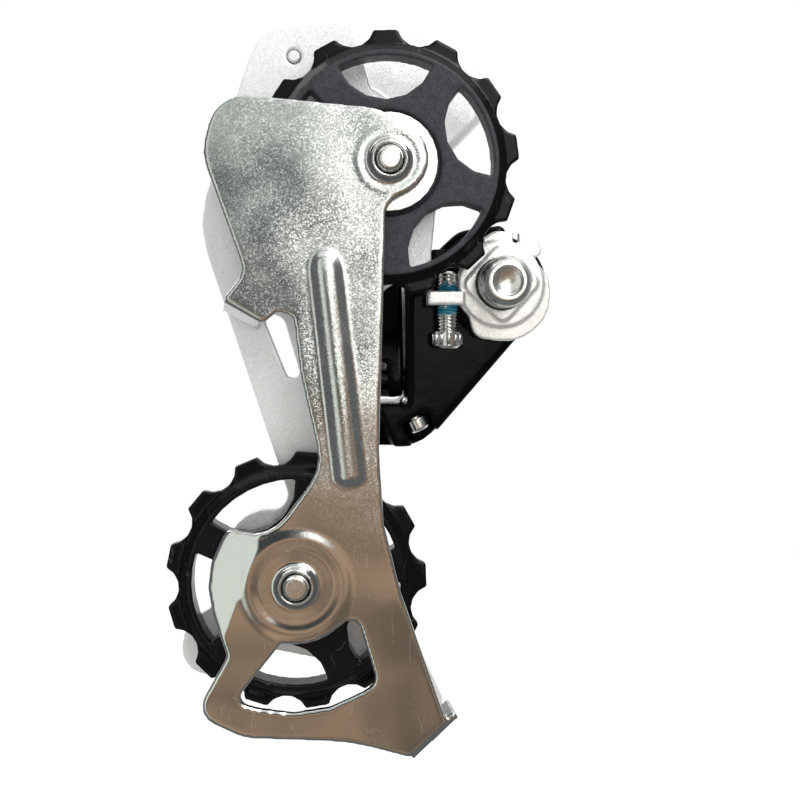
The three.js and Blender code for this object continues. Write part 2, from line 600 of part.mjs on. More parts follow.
// ---- Hanger knuckle --------------------------------------------------------------------
const B_OUTLINE = [
  [-39.1, -13.4, 1.5], [-39.1, -31.5, 3], [-25.5, -34.3, 9], [-15.3, -34, 7], [9.4, -5.4, 8],
  [1.4, 12.8, 1.5], [-8, 11.5, 5], [-19.2, 1, 3], [-19.2, -25, 1], [-35.8, -25, 1], [-35.8, -13.4, 1.5],
];
const LIMIT_SCREW_X = [-17.1, -27.9];
const LIMIT_SCREW_Z = -28.3;
const LIMIT_SCREW_Y = 9;
const LIMIT_LEAN = Math.atan2(0.43, 0.9);
const ADJUSTER_X = -30.5;
const ADJUSTER_TOP = [15.6, -26];
const ADJUSTER_LEAN = Math.atan2(1, 2);

/** Geometry built along +Y, turned to point along the cable and put at the adjuster. */
function alongCable(geometry) {
  const [y, z] = ADJUSTER_TOP;
  return geometry.rotateX(Math.PI / 2).rotateX(-ADJUSTER_LEAN).translate(ADJUSTER_X, y, z);
}

/** Geometry built along +Y, turned to a limit screw's line and put at its head. */
function alongLimit(geometry, x) {
  return geometry.rotateX(Math.PI / 2).rotateY(-LIMIT_LEAN).translate(x, LIMIT_SCREW_Y, LIMIT_SCREW_Z);
}

const B_CAVITY_R = 8.9;
const B_CAVITY_BACK_Y = 24;
const B_BOSS_FRONT_Y = 5;
const BOLT_HEAD_R = 8.2;
const BOLT_HEAD_THICK = 5.2;
const LUG = { x: [-14.4, -11.4], y: [0.6, 9], z: [2.9, 7] };
const LUG_FOOT = { x: [-12, -10], y: [6.5, 9], z: [2.9, 7] };
const LIMIT_POCKET_R = 3.4;
const LIMIT_SCREW_R = 1.5;
const CABLE_HOLE_R = 2.8;
const CABLE_POCKET_R = 4.6;

function hangerKnuckle() {
  const body = plateXZ(roundedShape(B_OUTLINE), B_FRONT_Y, B_BACK_Y, 0.8);
  const boss = turned([[0, B_BOSS_FRONT_Y], [B_BOSS_R - 1, B_BOSS_FRONT_Y],
    [B_BOSS_R, B_BOSS_FRONT_Y + 1], [B_BOSS_R, B_BACK_Y + 0.5],
    [B_BOSS_R - 1.5, B_BACK_Y + 2], [0, B_BACK_Y + 2]], 36);
  const lug = box(...LUG.x, ...LUG.y, ...LUG.z);
  const foot = box(...LUG_FOOT.x, ...LUG_FOOT.y, ...LUG_FOOT.z);
  const pins = [B_INNER_PIN_Y, B_OUTER_PIN_Y].map((y) => rodX(PIN_R + RUNNING_GAP, -60, -14.6)
    .translate(0, y, B_PIN_Z));
  const limitHoles = LIMIT_SCREW_X.flatMap((x) => [
    alongLimit(rodY(LIMIT_SCREW_R + RUNNING_GAP, -1, 7), x),
    alongLimit(rodY(LIMIT_POCKET_R, -9, 0.4), x),
    alongLimit(rodY(LIMIT_POCKET_R, -9, 0.4), x).translate(0, -3.2, 0),
  ]);
  return cut(join(body, boss, lug, foot), rodY(B_CAVITY_R, 0, B_CAVITY_BACK_Y, 32),
    rodY(BOLT_R + RUNNING_GAP, 0, 40, 32),
    rodY(BOLT_HEAD_R + 0.4, B_BACK_Y - 1, 40, 32), ...pins, ...limitHoles,
    alongCable(rodY(CABLE_HOLE_R, -20, 3)), alongCable(rodY(CABLE_POCKET_R, -20, -6.6)));
}

function limitScrew(name, x) {
  const screw = toGeometry(socketScrew(LIMIT_SCREW_R, 5.2, 0, -2.6, 2.4, 1.1));
  return piece(name, alongLimit(screw, x), NICKEL);
}

function barrelAdjuster() {
  const barrel = turned([[0, -20], [3.4, -20], [4.2, -19.2], [4.2, -12.4], [3.2, -11.6], [2.5, -11.2],
    [2.5, 1.5], [0, 1.5]], 24);
  const cable = rodY(1, -21, 3, 12);
  const socket = rodY(2.6, -21, -13.5, 16);
  return piece('barrel_adjuster', alongCable(toGeometry(cut(solid(barrel), cable, socket))), BLACK_NYLON);
}

function hangerKnuckleGroup() {
  const group = new THREE.Group();
  group.add(
    piece('b_knuckle', hangerKnuckle(), BLACK_PAINT),
    piece('b_spring', coil(7, 0.9, 5.6, 23.4, 6), SPRING_STEEL),
    linkPin('b_inner_pin', B_INNER_PIN_Y, B_PIN_Z, false),
    linkPin('b_outer_pin', B_OUTER_PIN_Y, B_PIN_Z, false),
    limitScrew('high_limit_screw', LIMIT_SCREW_X[0]),
    limitScrew('low_limit_screw', LIMIT_SCREW_X[1]),
    barrelAdjuster(),
    piece('adjuster_spring', alongCable(coil(3.45, 0.45, -11, -7, 3)), SPRING_STEEL));
  return group;
}

// ---- Hanger side -----------------------------------------------------------------------
const STOP_OUTLINE = [
  [-6.6, -6.6, 0.8], [-5.4, -11, 3], [3.6, -12.2, 9], [10.2, -6.6, 8], [10.2, 1.6, 6], [6.6, 5, 0.8],
  [5.6, 5.8, 0.2], [7.2, 5.4, 0.5], [8.6, 6.4, 1], [7.4, 8.8, 2.5], [3.6, 10.7, 3], [-1.6, 10.7, 1.6],
  [-3.9, 9.2, 1.2], [-3.6, 6.8, 1], [-8.4, 4.6, 4], [-9.8, -3, 5],
];
const STOP_FRONT_Y = 1;
const STOP_BACK_Y = 3;
const DISC_R = 8.7;
const DISC_FRONT_Y = 0.5;
const SEAT_REACH = 8.2;
const SEAT_CORNER_R = 1.8;
const SEAT_TURN = -0.05;
const SCREW_TAB = { x: [-15.2, -7.9], y: [-1.4, 4.5], z: [-4.4, -1.6] };
const CLAW_NOTCH = { x: [2.4, 3.6], z: [8.4, 12] };

/** Stop plate: a square seat for the hanger on a disc, a hooked claw and a tab for the tension screw. */
function stopPlate() {
  const sheet = plateXZ(roundedShape(STOP_OUTLINE), STOP_FRONT_Y, STOP_BACK_Y);
  const disc = rodY(DISC_R, DISC_FRONT_Y, STOP_BACK_Y - 1, 36);
  const seat = plateXZ(roundedShape([[0, SEAT_REACH], [SEAT_REACH, 0], [0, -SEAT_REACH], [-SEAT_REACH, 0]]
    .map(([x, z]) => [x, z, SEAT_CORNER_R])), 0, STOP_BACK_Y - 1).rotateY(SEAT_TURN);
  const tab = box(...SCREW_TAB.x, ...SCREW_TAB.y, ...SCREW_TAB.z);
  const claw = join(sheet, disc, seat, tab);
  return cut(claw, box(...CLAW_NOTCH.x, -1, STOP_BACK_Y + 1, ...CLAW_NOTCH.z),
    rodY(BOLT_R + RUNNING_GAP, -1, 5, 32),
    rodY(TENSION_SCREW_R + RUNNING_GAP, -6, 2).rotateX(Math.PI / 2).translate(B_SCREW_X, B_SCREW_Y, 0));
}

const DIMPLE_R = 2.9;
const BOLT_SOCKET_R = 3.5;

function mountingBolt() {
  const headLow = B_BACK_Y - 0.7;
  const headHigh = headLow + BOLT_HEAD_THICK;
  const blank = turned([[0, BOLT_TIP_Y], [3.9, BOLT_TIP_Y], [BOLT_R, BOLT_TIP_Y + 1.1], [BOLT_R, headLow],
    [BOLT_HEAD_R, headLow], [BOLT_HEAD_R, headHigh - 1.4], [BOLT_HEAD_R - 1.2, headHigh],
    [0, headHigh]], 32);
  const dimple = turned([[0, BOLT_TIP_Y - 1], [DIMPLE_R, BOLT_TIP_Y - 1], [DIMPLE_R, BOLT_TIP_Y + 0.6],
    [0, BOLT_TIP_Y + 1.6]], 24);
  const socket = rodY(BOLT_SOCKET_R, headHigh - 3.4, headHigh + 1, 6);
  return piece('mounting_bolt', cut(solid(blank), dimple, socket), NICKEL);
}

function tensionScrew() {
  const headLow = -13.2;
  const screw = toGeometry(socketScrew(TENSION_SCREW_R, 2.5, headLow + 3.4, headLow, 2.9, 1.3));
  return piece('b_tension_screw', screw.rotateX(Math.PI / 2).translate(B_SCREW_X, B_SCREW_Y, 0), NICKEL);
}

function hangerGroup() {
  const group = new THREE.Group();
  group.add(
    mountingBolt(),
    piece('stop_plate', stopPlate(), ZINC),
    piece('bolt_clip', ringY(BOLT_R + RUNNING_GAP, 7.2, 3.3, 4.5, 24), SPRING_STEEL),
    tensionScrew());
  return group;
}

// ---- Whole derailleur ------------------------------------------------------------------
const derailleur = new THREE.Group();
derailleur.add(hangerGroup(), hangerKnuckleGroup(), linkGroups(), cageKnuckleGroup(), cageGroup());

export default derailleur;
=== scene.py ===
"""A rear bicycle derailleur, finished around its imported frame.

The frame gives every place and size. This script softens the edges of the frame's parts, forms
the pressed details of the cage, winds the springs, cuts the threads, and gives each part its
plating, paint or moulded grain. Sizes are in metres.
"""

import json
import logging
import math
from dataclasses import dataclass, field
from enum import Enum
from typing import Iterable, Sequence

import bmesh
import bpy
from mathutils import Matrix, Vector


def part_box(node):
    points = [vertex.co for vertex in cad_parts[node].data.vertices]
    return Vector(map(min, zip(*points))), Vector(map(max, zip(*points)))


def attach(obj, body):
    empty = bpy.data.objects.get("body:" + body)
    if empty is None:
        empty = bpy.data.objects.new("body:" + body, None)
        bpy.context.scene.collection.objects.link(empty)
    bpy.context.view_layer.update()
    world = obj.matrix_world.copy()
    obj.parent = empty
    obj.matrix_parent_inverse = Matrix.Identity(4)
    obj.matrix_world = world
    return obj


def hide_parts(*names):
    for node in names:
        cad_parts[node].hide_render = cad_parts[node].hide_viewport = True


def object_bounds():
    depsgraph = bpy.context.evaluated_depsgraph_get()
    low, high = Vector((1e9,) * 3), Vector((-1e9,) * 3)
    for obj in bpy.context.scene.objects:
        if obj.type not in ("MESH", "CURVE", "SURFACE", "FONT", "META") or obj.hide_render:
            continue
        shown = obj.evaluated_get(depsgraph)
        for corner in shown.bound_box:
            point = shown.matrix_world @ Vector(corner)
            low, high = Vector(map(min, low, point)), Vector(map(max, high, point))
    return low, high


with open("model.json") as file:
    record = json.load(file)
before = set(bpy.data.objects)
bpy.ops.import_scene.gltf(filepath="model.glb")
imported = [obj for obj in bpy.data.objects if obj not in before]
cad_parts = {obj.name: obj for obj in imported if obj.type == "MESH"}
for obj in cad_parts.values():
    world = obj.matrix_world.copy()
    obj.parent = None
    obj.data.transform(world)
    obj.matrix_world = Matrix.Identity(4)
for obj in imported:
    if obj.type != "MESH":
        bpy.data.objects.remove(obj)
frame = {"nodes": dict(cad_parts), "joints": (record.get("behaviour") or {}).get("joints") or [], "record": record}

log = logging.getLogger("derailleur")
CAD_BOUNDS = [list(corner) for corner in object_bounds()]
MM = 0.001
OUTBOARD = Vector((0, 1, 0))
Colour = tuple[float, float, float, float]


class Slot(Enum):
    """Material slots of the record."""

    ZINC = "zinc_plate"
    SILVER = "silver_paint"
    BLACK = "black_paint"
    NYLON = "black_nylon"
    NICKEL = "nickel_steel"
    SPRING = "spring_steel"


class Skin(Enum):
    """How a part was formed: the grid of its new surface in millimetres, and smoothing passes."""

    STAMPED = (0.26, 2)
    PRESSED = (0.36, 4)
    CAST = (0.36, 9)
    MOULDED = (0.3, 4)

    @property
    def grid(self) -> float:
        """Spacing of the new surface in metres."""
        return self.value[0] * MM

    @property
    def passes(self) -> int:
        """Number of smoothing passes, which round the corners."""
        return self.value[1]


# ---- The frame's own facts ------------------------------------------------------------------
def body_of(node: str) -> str:
    """Name of the body that a CAD node belongs to."""
    bodies = frame["record"]["behaviour"]["bodies"]
    return next(name for name, members in bodies.items() if node in members)


def joint_line(name: str) -> tuple[Vector, Vector]:
    """Point and direction of a joint's axis.

    Args:
        name: The joint's name in the record.

    Returns:
        The joint's point in metres, and the axis as a unit vector.
    """
    joint = next(j for j in frame["joints"] if j["name"] == name)
    return Vector(joint["pos_m"]), Vector(joint["axis"]).normalized()


def centre_of(node: str) -> Vector:
    """Middle of a CAD node's box."""
    low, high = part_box(node)
    return (low + high) / 2


def along(origin: Vector, direction: Vector) -> Matrix:
    """Matrix that puts local Z on a line.

    Args:
        origin: Where the local origin goes.
        direction: Where local Z points.

    Returns:
        The 4 x 4 matrix.
    """
    rotation = Vector((0, 0, 1)).rotation_difference(direction.normalized())
    return Matrix.Translation(origin) @ rotation.to_matrix().to_4x4()


def cage_place() -> Matrix:
    """Matrix from the cage's own axes to the frame's.

    Returns:
        Origin on the guide pulley's axis at the chain's plane, Z from the tension pulley's
        axis to the guide pulley's, and Y outboard.
    """
    guide, outboard = joint_line("guide_spin")
    tension, _ = joint_line("tension_spin")
    up = (guide - tension).normalized()
    side = outboard.cross(up)
    rotation = Matrix((side, outboard, up)).transposed().to_4x4()
    return Matrix.Translation(guide) @ rotation


# ---- Node trees -----------------------------------------------------------------------------
class Bench:
    """Puts nodes into one tree and joins their sockets."""

    def __init__(self, tree: bpy.types.NodeTree) -> None:
        """Args:
            tree: The tree to work in.
        """
        self.tree = tree

    def put(self, kind: str, inputs: dict | None = None, **settings: object) -> bpy.types.Node:
        """Adds a node.

        Args:
            kind: The node's type.
            inputs: Value, or socket to join, for each input by name or number.
            settings: The node's own properties.

        Returns:
            The new node.
        """
        node = self.tree.nodes.new(kind)
        node.location = (190 * (len(self.tree.nodes) % 12), -220 * (len(self.tree.nodes) // 12))
        for key, value in settings.items():
            setattr(node, key, value)
        for key, value in (inputs or {}).items():
            if isinstance(value, bpy.types.NodeSocket):
                self.tree.links.new(value, node.inputs[key])
            else:
                node.inputs[key].default_value = value
        return node

    def math(self, operation: str, a: object, b: object = 0.0) -> bpy.types.NodeSocket:
        """Result of one sum on numbers or sockets."""
        return self.put("ShaderNodeMath", {0: a, 1: b}, operation=operation).outputs[0]

    def step(self, value: object, low: float, high: float) -> bpy.types.NodeSocket:
        """Smooth step from 0 at low to 1 at high."""
        inputs = {"Value": value, "From Min": low, "From Max": high}
        return self.put("ShaderNodeMapRange", inputs, interpolation_type="SMOOTHSTEP").outputs[0]

    def between(self, factor: object, low: object, high: object) -> bpy.types.NodeSocket:
        """Number between low and high by factor."""
        inputs = {0: factor, 2: low, 3: high}
        return self.put("ShaderNodeMix", inputs, data_type="FLOAT").outputs[0]

    def tint(self, factor: object, low: object, high: object) -> bpy.types.NodeSocket:
        """Colour between low and high by factor."""
        inputs = {0: factor, 6: low, 7: high}
        return self.put("ShaderNodeMix", inputs, data_type="RGBA").outputs[2]

    def vector(self, operation: str, a: object, b: object = (0, 0, 0)) -> bpy.types.Node:
        """Node for one sum on vectors."""
        return self.put("ShaderNodeVectorMath", {0: a, 1: b}, operation=operation)

    def distance(self, where: object, axes: tuple[int, int, int]) -> bpy.types.NodeSocket:
        """Distance from the origin along the axes that are 1."""
        return self.vector("LENGTH", self.vector("MULTIPLY", where, axes).outputs[0]).outputs["Value"]

    def normal(self) -> bpy.types.NodeSocket:
        """The surface's own normal."""
        return self.put("ShaderNodeNewGeometry").outputs["Normal"]

    def bump(self, height: object, distance: float, strength: float,
             **more: object) -> bpy.types.NodeSocket:
        """Normal of a bumped surface; more may hold the Normal below it."""
        inputs = {"Height": height, "Distance": distance, "Strength": strength, **more}
        return self.put("ShaderNodeBump", inputs).outputs[0]

    def place(self) -> bpy.types.NodeSocket:
        """Object coordinates."""
        return self.put("ShaderNodeTexCoord").outputs["Object"]

    def noise(self, where: object, size: object, detail: float = 3.0) -> bpy.types.NodeSocket:
        """Cloudy pattern from 0 to 1.

        Args:
            where: Coordinates in metres.
            size: Scale of the pattern, in features per metre.
            detail: Octaves.

        Returns:
            The pattern's value.
        """
        inputs = {"Vector": where, "Scale": size, "Detail": detail}
        return self.put("ShaderNodeTexNoise", inputs).outputs[0]


class Effects:
    """Surface effects that several finishes share, each a node group that is built once."""

    def __init__(self) -> None:
        """Builds every group."""
        self.grain = self._grain()
        self.scratches = self._scratches()
        self.spangle = self._spangle()
        self.wear = self._wear()
        self.smudge = self._smudge()

    @staticmethod
    def _group(name: str, inputs: dict[str, float], outputs: dict[str, str]) -> tuple:
        """Starts a group.

        Args:
            name: The group's name.
            inputs: Default of each number that goes in.
            outputs: Socket type of each output.

        Returns:
            The bench, the group's input node and its output node.
        """
        tree = bpy.data.node_groups.new(name, "ShaderNodeTree")
        for label, default in inputs.items():
            socket = tree.interface.new_socket(label, in_out="INPUT", socket_type="NodeSocketFloat")
            socket.default_value = default
        for label, kind in outputs.items():
            tree.interface.new_socket(label, in_out="OUTPUT", socket_type=kind)
        bench = Bench(tree)
        return bench, bench.put("NodeGroupInput"), bench.put("NodeGroupOutput")

    def _grain(self) -> bpy.types.NodeTree:
        """Two sizes of fine noise, for moulded and cast skins.

        Returns:
            The node group.
        """
        bench, given, out = self._group(
            "fine_grain", {"Per Metre": 3000.0}, {"Height": "NodeSocketFloat"})
        where = bench.place()
        size = given.outputs["Per Metre"]
        fine = bench.noise(where, size, 2.0)
        coarse = bench.noise(where, bench.math("MULTIPLY", size, 0.31), 3.0)
        mixed = bench.between(0.45, fine, coarse)
        bench.tree.links.new(mixed, out.inputs["Height"])
        return bench.tree

    def _scratches(self) -> bpy.types.NodeTree:
        """Thin, long, gently curved lines, broken up in patches.

        Returns:
            The node group.
        """
        bench, given, out = self._group(
            "handling_scratches", {"Per Metre": 60.0, "Width": 0.004}, {"Mask": "NodeSocketFloat"})
        where = bench.place()
        size = given.outputs["Per Metre"]
        lines = None
        for turn, stretch in ((0.5, 0.25), (2.1, 0.35), (-0.6, 0.2)):
            mapped = bench.put("ShaderNodeMapping", {
                "Vector": where, "Rotation": (0, turn, 0), "Scale": (1, 1, stretch)}).outputs[0]
            waves = bench.noise(mapped, size, 1.5)
            away = bench.math("ABSOLUTE", bench.math("SUBTRACT", waves, 0.5))
            line = bench.math("LESS_THAN", away, given.outputs["Width"])
            lines = line if lines is None else bench.math("MAXIMUM", lines, line)
        patches = bench.step(bench.noise(where, bench.math("MULTIPLY", size, 4.0)), 0.5, 0.62)
        bench.tree.links.new(bench.math("MULTIPLY", lines, patches), out.inputs["Mask"])
        return bench.tree

    def _spangle(self) -> bpy.types.NodeTree:
        """Small crystals, each tilted its own way, as on bright zinc and flake paint.

        Returns:
            The node group.
        """
        bench, given, out = self._group(
            "crystal_spangle", {"Per Metre": 2400.0, "Tilt": 0.1},
            {"Normal": "NodeSocketVector", "Sparkle": "NodeSocketFloat"})
        where = bench.place()
        cells = bench.put("ShaderNodeTexVoronoi", {
            "Vector": where, "Scale": given.outputs["Per Metre"]})
        centred = bench.vector("SUBTRACT", cells.outputs["Color"], (0.5, 0.5, 0.5)).outputs[0]
        tilt = bench.put("ShaderNodeVectorMath", {
            0: centred, "Scale": given.outputs["Tilt"]}, operation="SCALE").outputs[0]
        summed = bench.vector("ADD", bench.normal(), tilt).outputs[0]
        turned = bench.vector("NORMALIZE", summed).outputs[0]
        red = bench.put("ShaderNodeSeparateColor", {0: cells.outputs["Color"]}).outputs[0]
        bench.tree.links.new(turned, out.inputs["Normal"])
        bench.tree.links.new(red, out.inputs["Sparkle"])
        return bench.tree

    def _wear(self) -> bpy.types.NodeTree:
        """Mask along outer corners, where handling rubs the finish off.

        Returns:
            The node group.
        """
        bench, given, out = self._group(
            "corner_wear", {"Radius": 0.0003, "Amount": 1.0}, {"Mask": "NodeSocketFloat"})
        rounded = bench.put("ShaderNodeBevel", {"Radius": given.outputs["Radius"]}, samples=4)
        facing = bench.vector("DOT_PRODUCT", rounded.outputs[0], bench.normal()).outputs["Value"]
        corner = bench.step(bench.math("SUBTRACT", 1.0, facing), 0.02, 0.12)
        broken = bench.step(bench.noise(bench.place(), 900.0), 0.4, 0.6)
        rubbed = bench.math("MULTIPLY", corner, broken)
        worn = bench.math("MULTIPLY", rubbed, given.outputs["Amount"])
        bench.tree.links.new(worn, out.inputs["Mask"])
        return bench.tree

    def _smudge(self) -> bpy.types.NodeTree:
        """Broad soft patches, from wiping and handling.

        Returns:
            The node group.
        """
        bench, given, out = self._group(
            "wiped_patches", {"Per Metre": 120.0}, {"Value": "NodeSocketFloat"})
        cloud = bench.noise(bench.place(), given.outputs["Per Metre"], 4.0)
        bench.tree.links.new(bench.step(cloud, 0.3, 0.7), out.inputs["Value"])
        return bench.tree


# ---- Finishes -------------------------------------------------------------------------------
@dataclass(frozen=True)
class Finish:
    """What every finish has: its material's name, colour and roughness."""

    name: str
    colour: Colour
    roughness: float

    def begin(self) -> tuple[bpy.types.Material, Bench, bpy.types.Node]:
        """Starts the material.

        Returns:
            The material, a bench on its tree, and its Principled shader.
        """
        material = bpy.data.materials.new(self.name)
        material.use_nodes = True
        bench = Bench(material.node_tree)
        shader = material.node_tree.nodes["Principled BSDF"]
        shader.inputs["Base Color"].default_value = self.colour
        shader.inputs["Roughness"].default_value = self.roughness
        return material, bench, shader

    def shade(self, gain: float) -> Colour:
        """The finish's colour made lighter or darker."""
        return tuple(min(1.0, gain * part) for part in self.colour[:3]) + (1.0,)

    @staticmethod
    def wire(bench: Bench, shader: bpy.types.Node, *maps: bpy.types.NodeSocket) -> None:
        """Joins the maps for colour, roughness and normal to the shader, in that order."""
        for socket, value in zip(("Base Color", "Roughness", "Normal"), maps):
            bench.tree.links.new(value, shader.inputs[socket])

    @staticmethod
    def use(bench: Bench, tree: bpy.types.NodeTree, **values: float) -> bpy.types.Node:
        """Places a shared effect.

        Args:
            bench: The material's bench.
            tree: The effect's node group.
            values: The group's inputs, with underscores for spaces.

        Returns:
            The group node.
        """
        node = bench.put("ShaderNodeGroup", node_tree=tree)
        for key, value in values.items():
            node.inputs[key.replace("_", " ").title()].default_value = value
        return node


@dataclass(frozen=True)
class PlatedSteel(Finish):
    """Bright zinc or nickel on steel: crystals, wiped patches and scratches."""

    crystals: float = 2600.0
    tilt: float = 0.05
    scratch_width: float = 0.0022
    smooth_below: float | None = None
    wave: float = 0.0
    metal: float = 1.0

    def make(self, effects: Effects) -> bpy.types.Material:
        """Builds the material.

        Args:
            effects: The shared effects.

        Returns:
            The material.
        """
        material, bench, shader = self.begin()
        crystal = self.use(bench, effects.spangle, per_metre=self.crystals, tilt=self.tilt)
        scratch = self.use(bench, effects.scratches, width=self.scratch_width)
        smudge = self.use(bench, effects.smudge)
        dull, bright = self.shade(0.86), self.shade(1.08)
        speckle = bench.step(crystal.outputs["Sparkle"], 0.6, 0.99)
        rough = bench.between(smudge.outputs[0], self.roughness * 0.8, self.roughness * 1.25)
        normal = crystal.outputs["Normal"]
        if self.smooth_below is not None:
            split = bench.put("ShaderNodeSeparateXYZ", {0: bench.place()})
            height = bench.math("ADD", split.outputs[2], bench.math(
                "MULTIPLY", bench.noise(bench.place(), 60.0), 0.016))
            upper = bench.step(height, self.smooth_below - 0.004, self.smooth_below + 0.016)
            normal = bench.put("ShaderNodeMix", {
                0: bench.between(upper, 0.12, 1.0), 4: bench.normal(), 5: normal},
                data_type="VECTOR").outputs[1]
            speckle = bench.between(upper, 0.3, speckle)
            rough = bench.between(upper, self.roughness * 0.45, rough)
        colour = bench.tint(speckle, dull, bright)
        colour = bench.tint(bench.math("MULTIPLY", scratch.outputs[0], 0.6), colour, bright)
        if self.wave:
            waves = bench.noise(bench.place(), 42.0, 1.0)
            normal = bench.bump(waves, self.wave, 1.0, Normal=normal)
        normal = bench.bump(scratch.outputs[0], 0.00002, 0.35, Normal=normal)
        self.wire(bench, shader, colour, rough, normal)
        shader.inputs["Metallic"].default_value = self.metal
        return material


@dataclass(frozen=True)
class LockedThread(PlatedSteel):
    """Plated screw with patches of dried blue-green thread lock."""

    lock_colour: Colour = (0.0, 0.16, 0.24, 1.0)
    bands: tuple[tuple[float, float], ...] = ()

    def make(self, effects: Effects) -> bpy.types.Material:
        """Builds the plated material, then lays the thread lock over it.

        Args:
            effects: The shared effects.

        Returns:
            The material.
        """
        material = super().make(effects)
        bench = Bench(material.node_tree)
        shader = material.node_tree.nodes["Principled BSDF"]
        where = bench.place()
        height = bench.put("ShaderNodeSeparateXYZ", {0: where}).outputs[2]
        ragged = bench.math("MULTIPLY", bench.math("SUBTRACT", bench.noise(where, 700.0), 0.5), 0.004)
        height = bench.math("ADD", height, ragged)
        mask = None
        for low, high in self.bands:
            inside = bench.math("MULTIPLY", bench.step(height, low - 0.0002, low + 0.0002),
                                bench.step(height, high + 0.0002, high - 0.0002))
            mask = inside if mask is None else bench.math("MAXIMUM", mask, inside)
        for socket, over in (("Base Color", self.lock_colour), ("Roughness", 0.5)):
            under = shader.inputs[socket].links[0].from_socket
            mix = bench.tint if socket == "Base Color" else bench.between
            bench.tree.links.new(mix(mask, under, over), shader.inputs[socket])
        bench.tree.links.new(bench.between(mask, 1.0, 0.0), shader.inputs["Metallic"])
        return material


@dataclass(frozen=True)
class FlakePaint(Finish):
    """Silver paint with metal flakes under a thin clear coat."""

    flakes: float = 6500.0
    tilt: float = 0.16
    metal: float = 0.3
    under: Colour = (0.5, 0.5, 0.5, 1.0)

    def make(self, effects: Effects) -> bpy.types.Material:
        """Builds the material.

        Args:
            effects: The shared effects.

        Returns:
            The material.
        """
        material, bench, shader = self.begin()
        flake = self.use(bench, effects.spangle, per_metre=self.flakes, tilt=self.tilt)
        wear = self.use(bench, effects.wear, radius=0.0002, amount=0.6)
        smudge = self.use(bench, effects.smudge, per_metre=90.0)
        colour = bench.tint(flake.outputs["Sparkle"], self.shade(0.9), self.colour)
        colour = bench.tint(wear.outputs[0], colour, self.under)
        rough = bench.between(smudge.outputs[0], self.roughness * 0.85, self.roughness * 1.2)
        self.wire(bench, shader, colour, rough, flake.outputs["Normal"])
        shader.inputs["Metallic"].default_value = self.metal
        shader.inputs["Coat Weight"].default_value = 0.35
        shader.inputs["Coat Roughness"].default_value = 0.12
        return material


@dataclass(frozen=True)
class GlossPaint(Finish):
    """Thick gloss paint over a casting, rubbed at its corners."""

    metal_under: Colour = (0.3, 0.3, 0.3, 1.0)
    orange_peel: float = 420.0
    wear: float = 0.3

    def make(self, effects: Effects) -> bpy.types.Material:
        """Builds the material.

        Args:
            effects: The shared effects.

        Returns:
            The material.
        """
        material, bench, shader = self.begin()
        wear = self.use(bench, effects.wear, radius=0.00025, amount=self.wear)
        peel = self.use(bench, effects.grain, per_metre=self.orange_peel)
        smudge = self.use(bench, effects.smudge, per_metre=200.0)
        colour = bench.tint(wear.outputs[0], self.colour, self.metal_under)
        rough = bench.between(smudge.outputs[0], self.roughness * 0.7, self.roughness * 1.6)
        self.wire(bench, shader, colour, rough, bench.bump(peel.outputs[0], 0.0004, 0.3))
        shader.inputs["Specular IOR Level"].default_value = 0.05
        shader.inputs["Coat Weight"].default_value = 0.06
        shader.inputs["Coat Roughness"].default_value = 0.06
        return material


@dataclass(frozen=True)
class MouldedNylon(Finish):
    """Black nylon: a grained face inside a ring, lightened by a painted sheen on its grain, and a smoother skin
    outside it.
    """

    axis_point: Vector | None = None
    face_radius: float = 0.0
    grain: float = 2600.0
    grain_strength: float = 0.5
    shoulder_roughness: float = 0.2
    face_gain: float = 2.1

    def make(self, effects: Effects) -> bpy.types.Material:
        """Builds the material.

        Args:
            effects: The shared effects.

        Returns:
            The material.
        """
        material, bench, shader = self.begin()
        grain = self.use(bench, effects.grain, per_metre=self.grain)
        smudge = self.use(bench, effects.smudge, per_metre=150.0)
        scratch = self.use(bench, effects.scratches, per_metre=110.0, width=0.002)
        face: object = 1.0
        if self.axis_point is not None:
            offset = bench.vector("SUBTRACT", bench.place(), tuple(self.axis_point)).outputs[0]
            radius = bench.distance(offset, (1, 0, 1))
            face = bench.step(radius, self.face_radius + 0.0002, self.face_radius - 0.0002)
        # Painted sheen: grain on the face lightens the base colour toward a brighter copy of the nylon, standing
        # for light scattered by the grained face. The grain pattern itself is the real moulded texture.
        lit = bench.math("MULTIPLY", grain.outputs[0], face)
        colour = bench.tint(lit, self.colour, self.shade(self.face_gain))
        colour = bench.tint(bench.math("MULTIPLY", scratch.outputs[0], 0.25), colour, (0.1, 0.1, 0.1, 1))
        rough_face = bench.between(smudge.outputs[0], self.roughness * 0.9, self.roughness * 1.15)
        rough = bench.between(face, self.shoulder_roughness, rough_face)
        strength = bench.between(face, 0.12, self.grain_strength)
        height = bench.math("MULTIPLY", grain.outputs[0], strength)
        self.wire(bench, shader, colour, rough, bench.bump(height, 0.0002, 1.0))
        shader.inputs["Specular IOR Level"].default_value = 0.18
        return material


# ---- Meshes ---------------------------------------------------------------------------------
def to_mesh(work: bmesh.types.BMesh, name: str, sharp_degrees: float = 38.0) -> bpy.types.Mesh:
    """Turns a bmesh into a mesh with smooth rounds and sharp corners.

    Args:
        work: The bmesh, which is freed.
        name: The mesh's name.
        sharp_degrees: Angle above which an edge stays sharp.

    Returns:
        The mesh.
    """
    mesh = bpy.data.meshes.new(name)
    work.to_mesh(mesh)
    work.free()
    mesh.shade_smooth()
    mesh.set_sharp_from_angle(angle=math.radians(sharp_degrees))
    return mesh


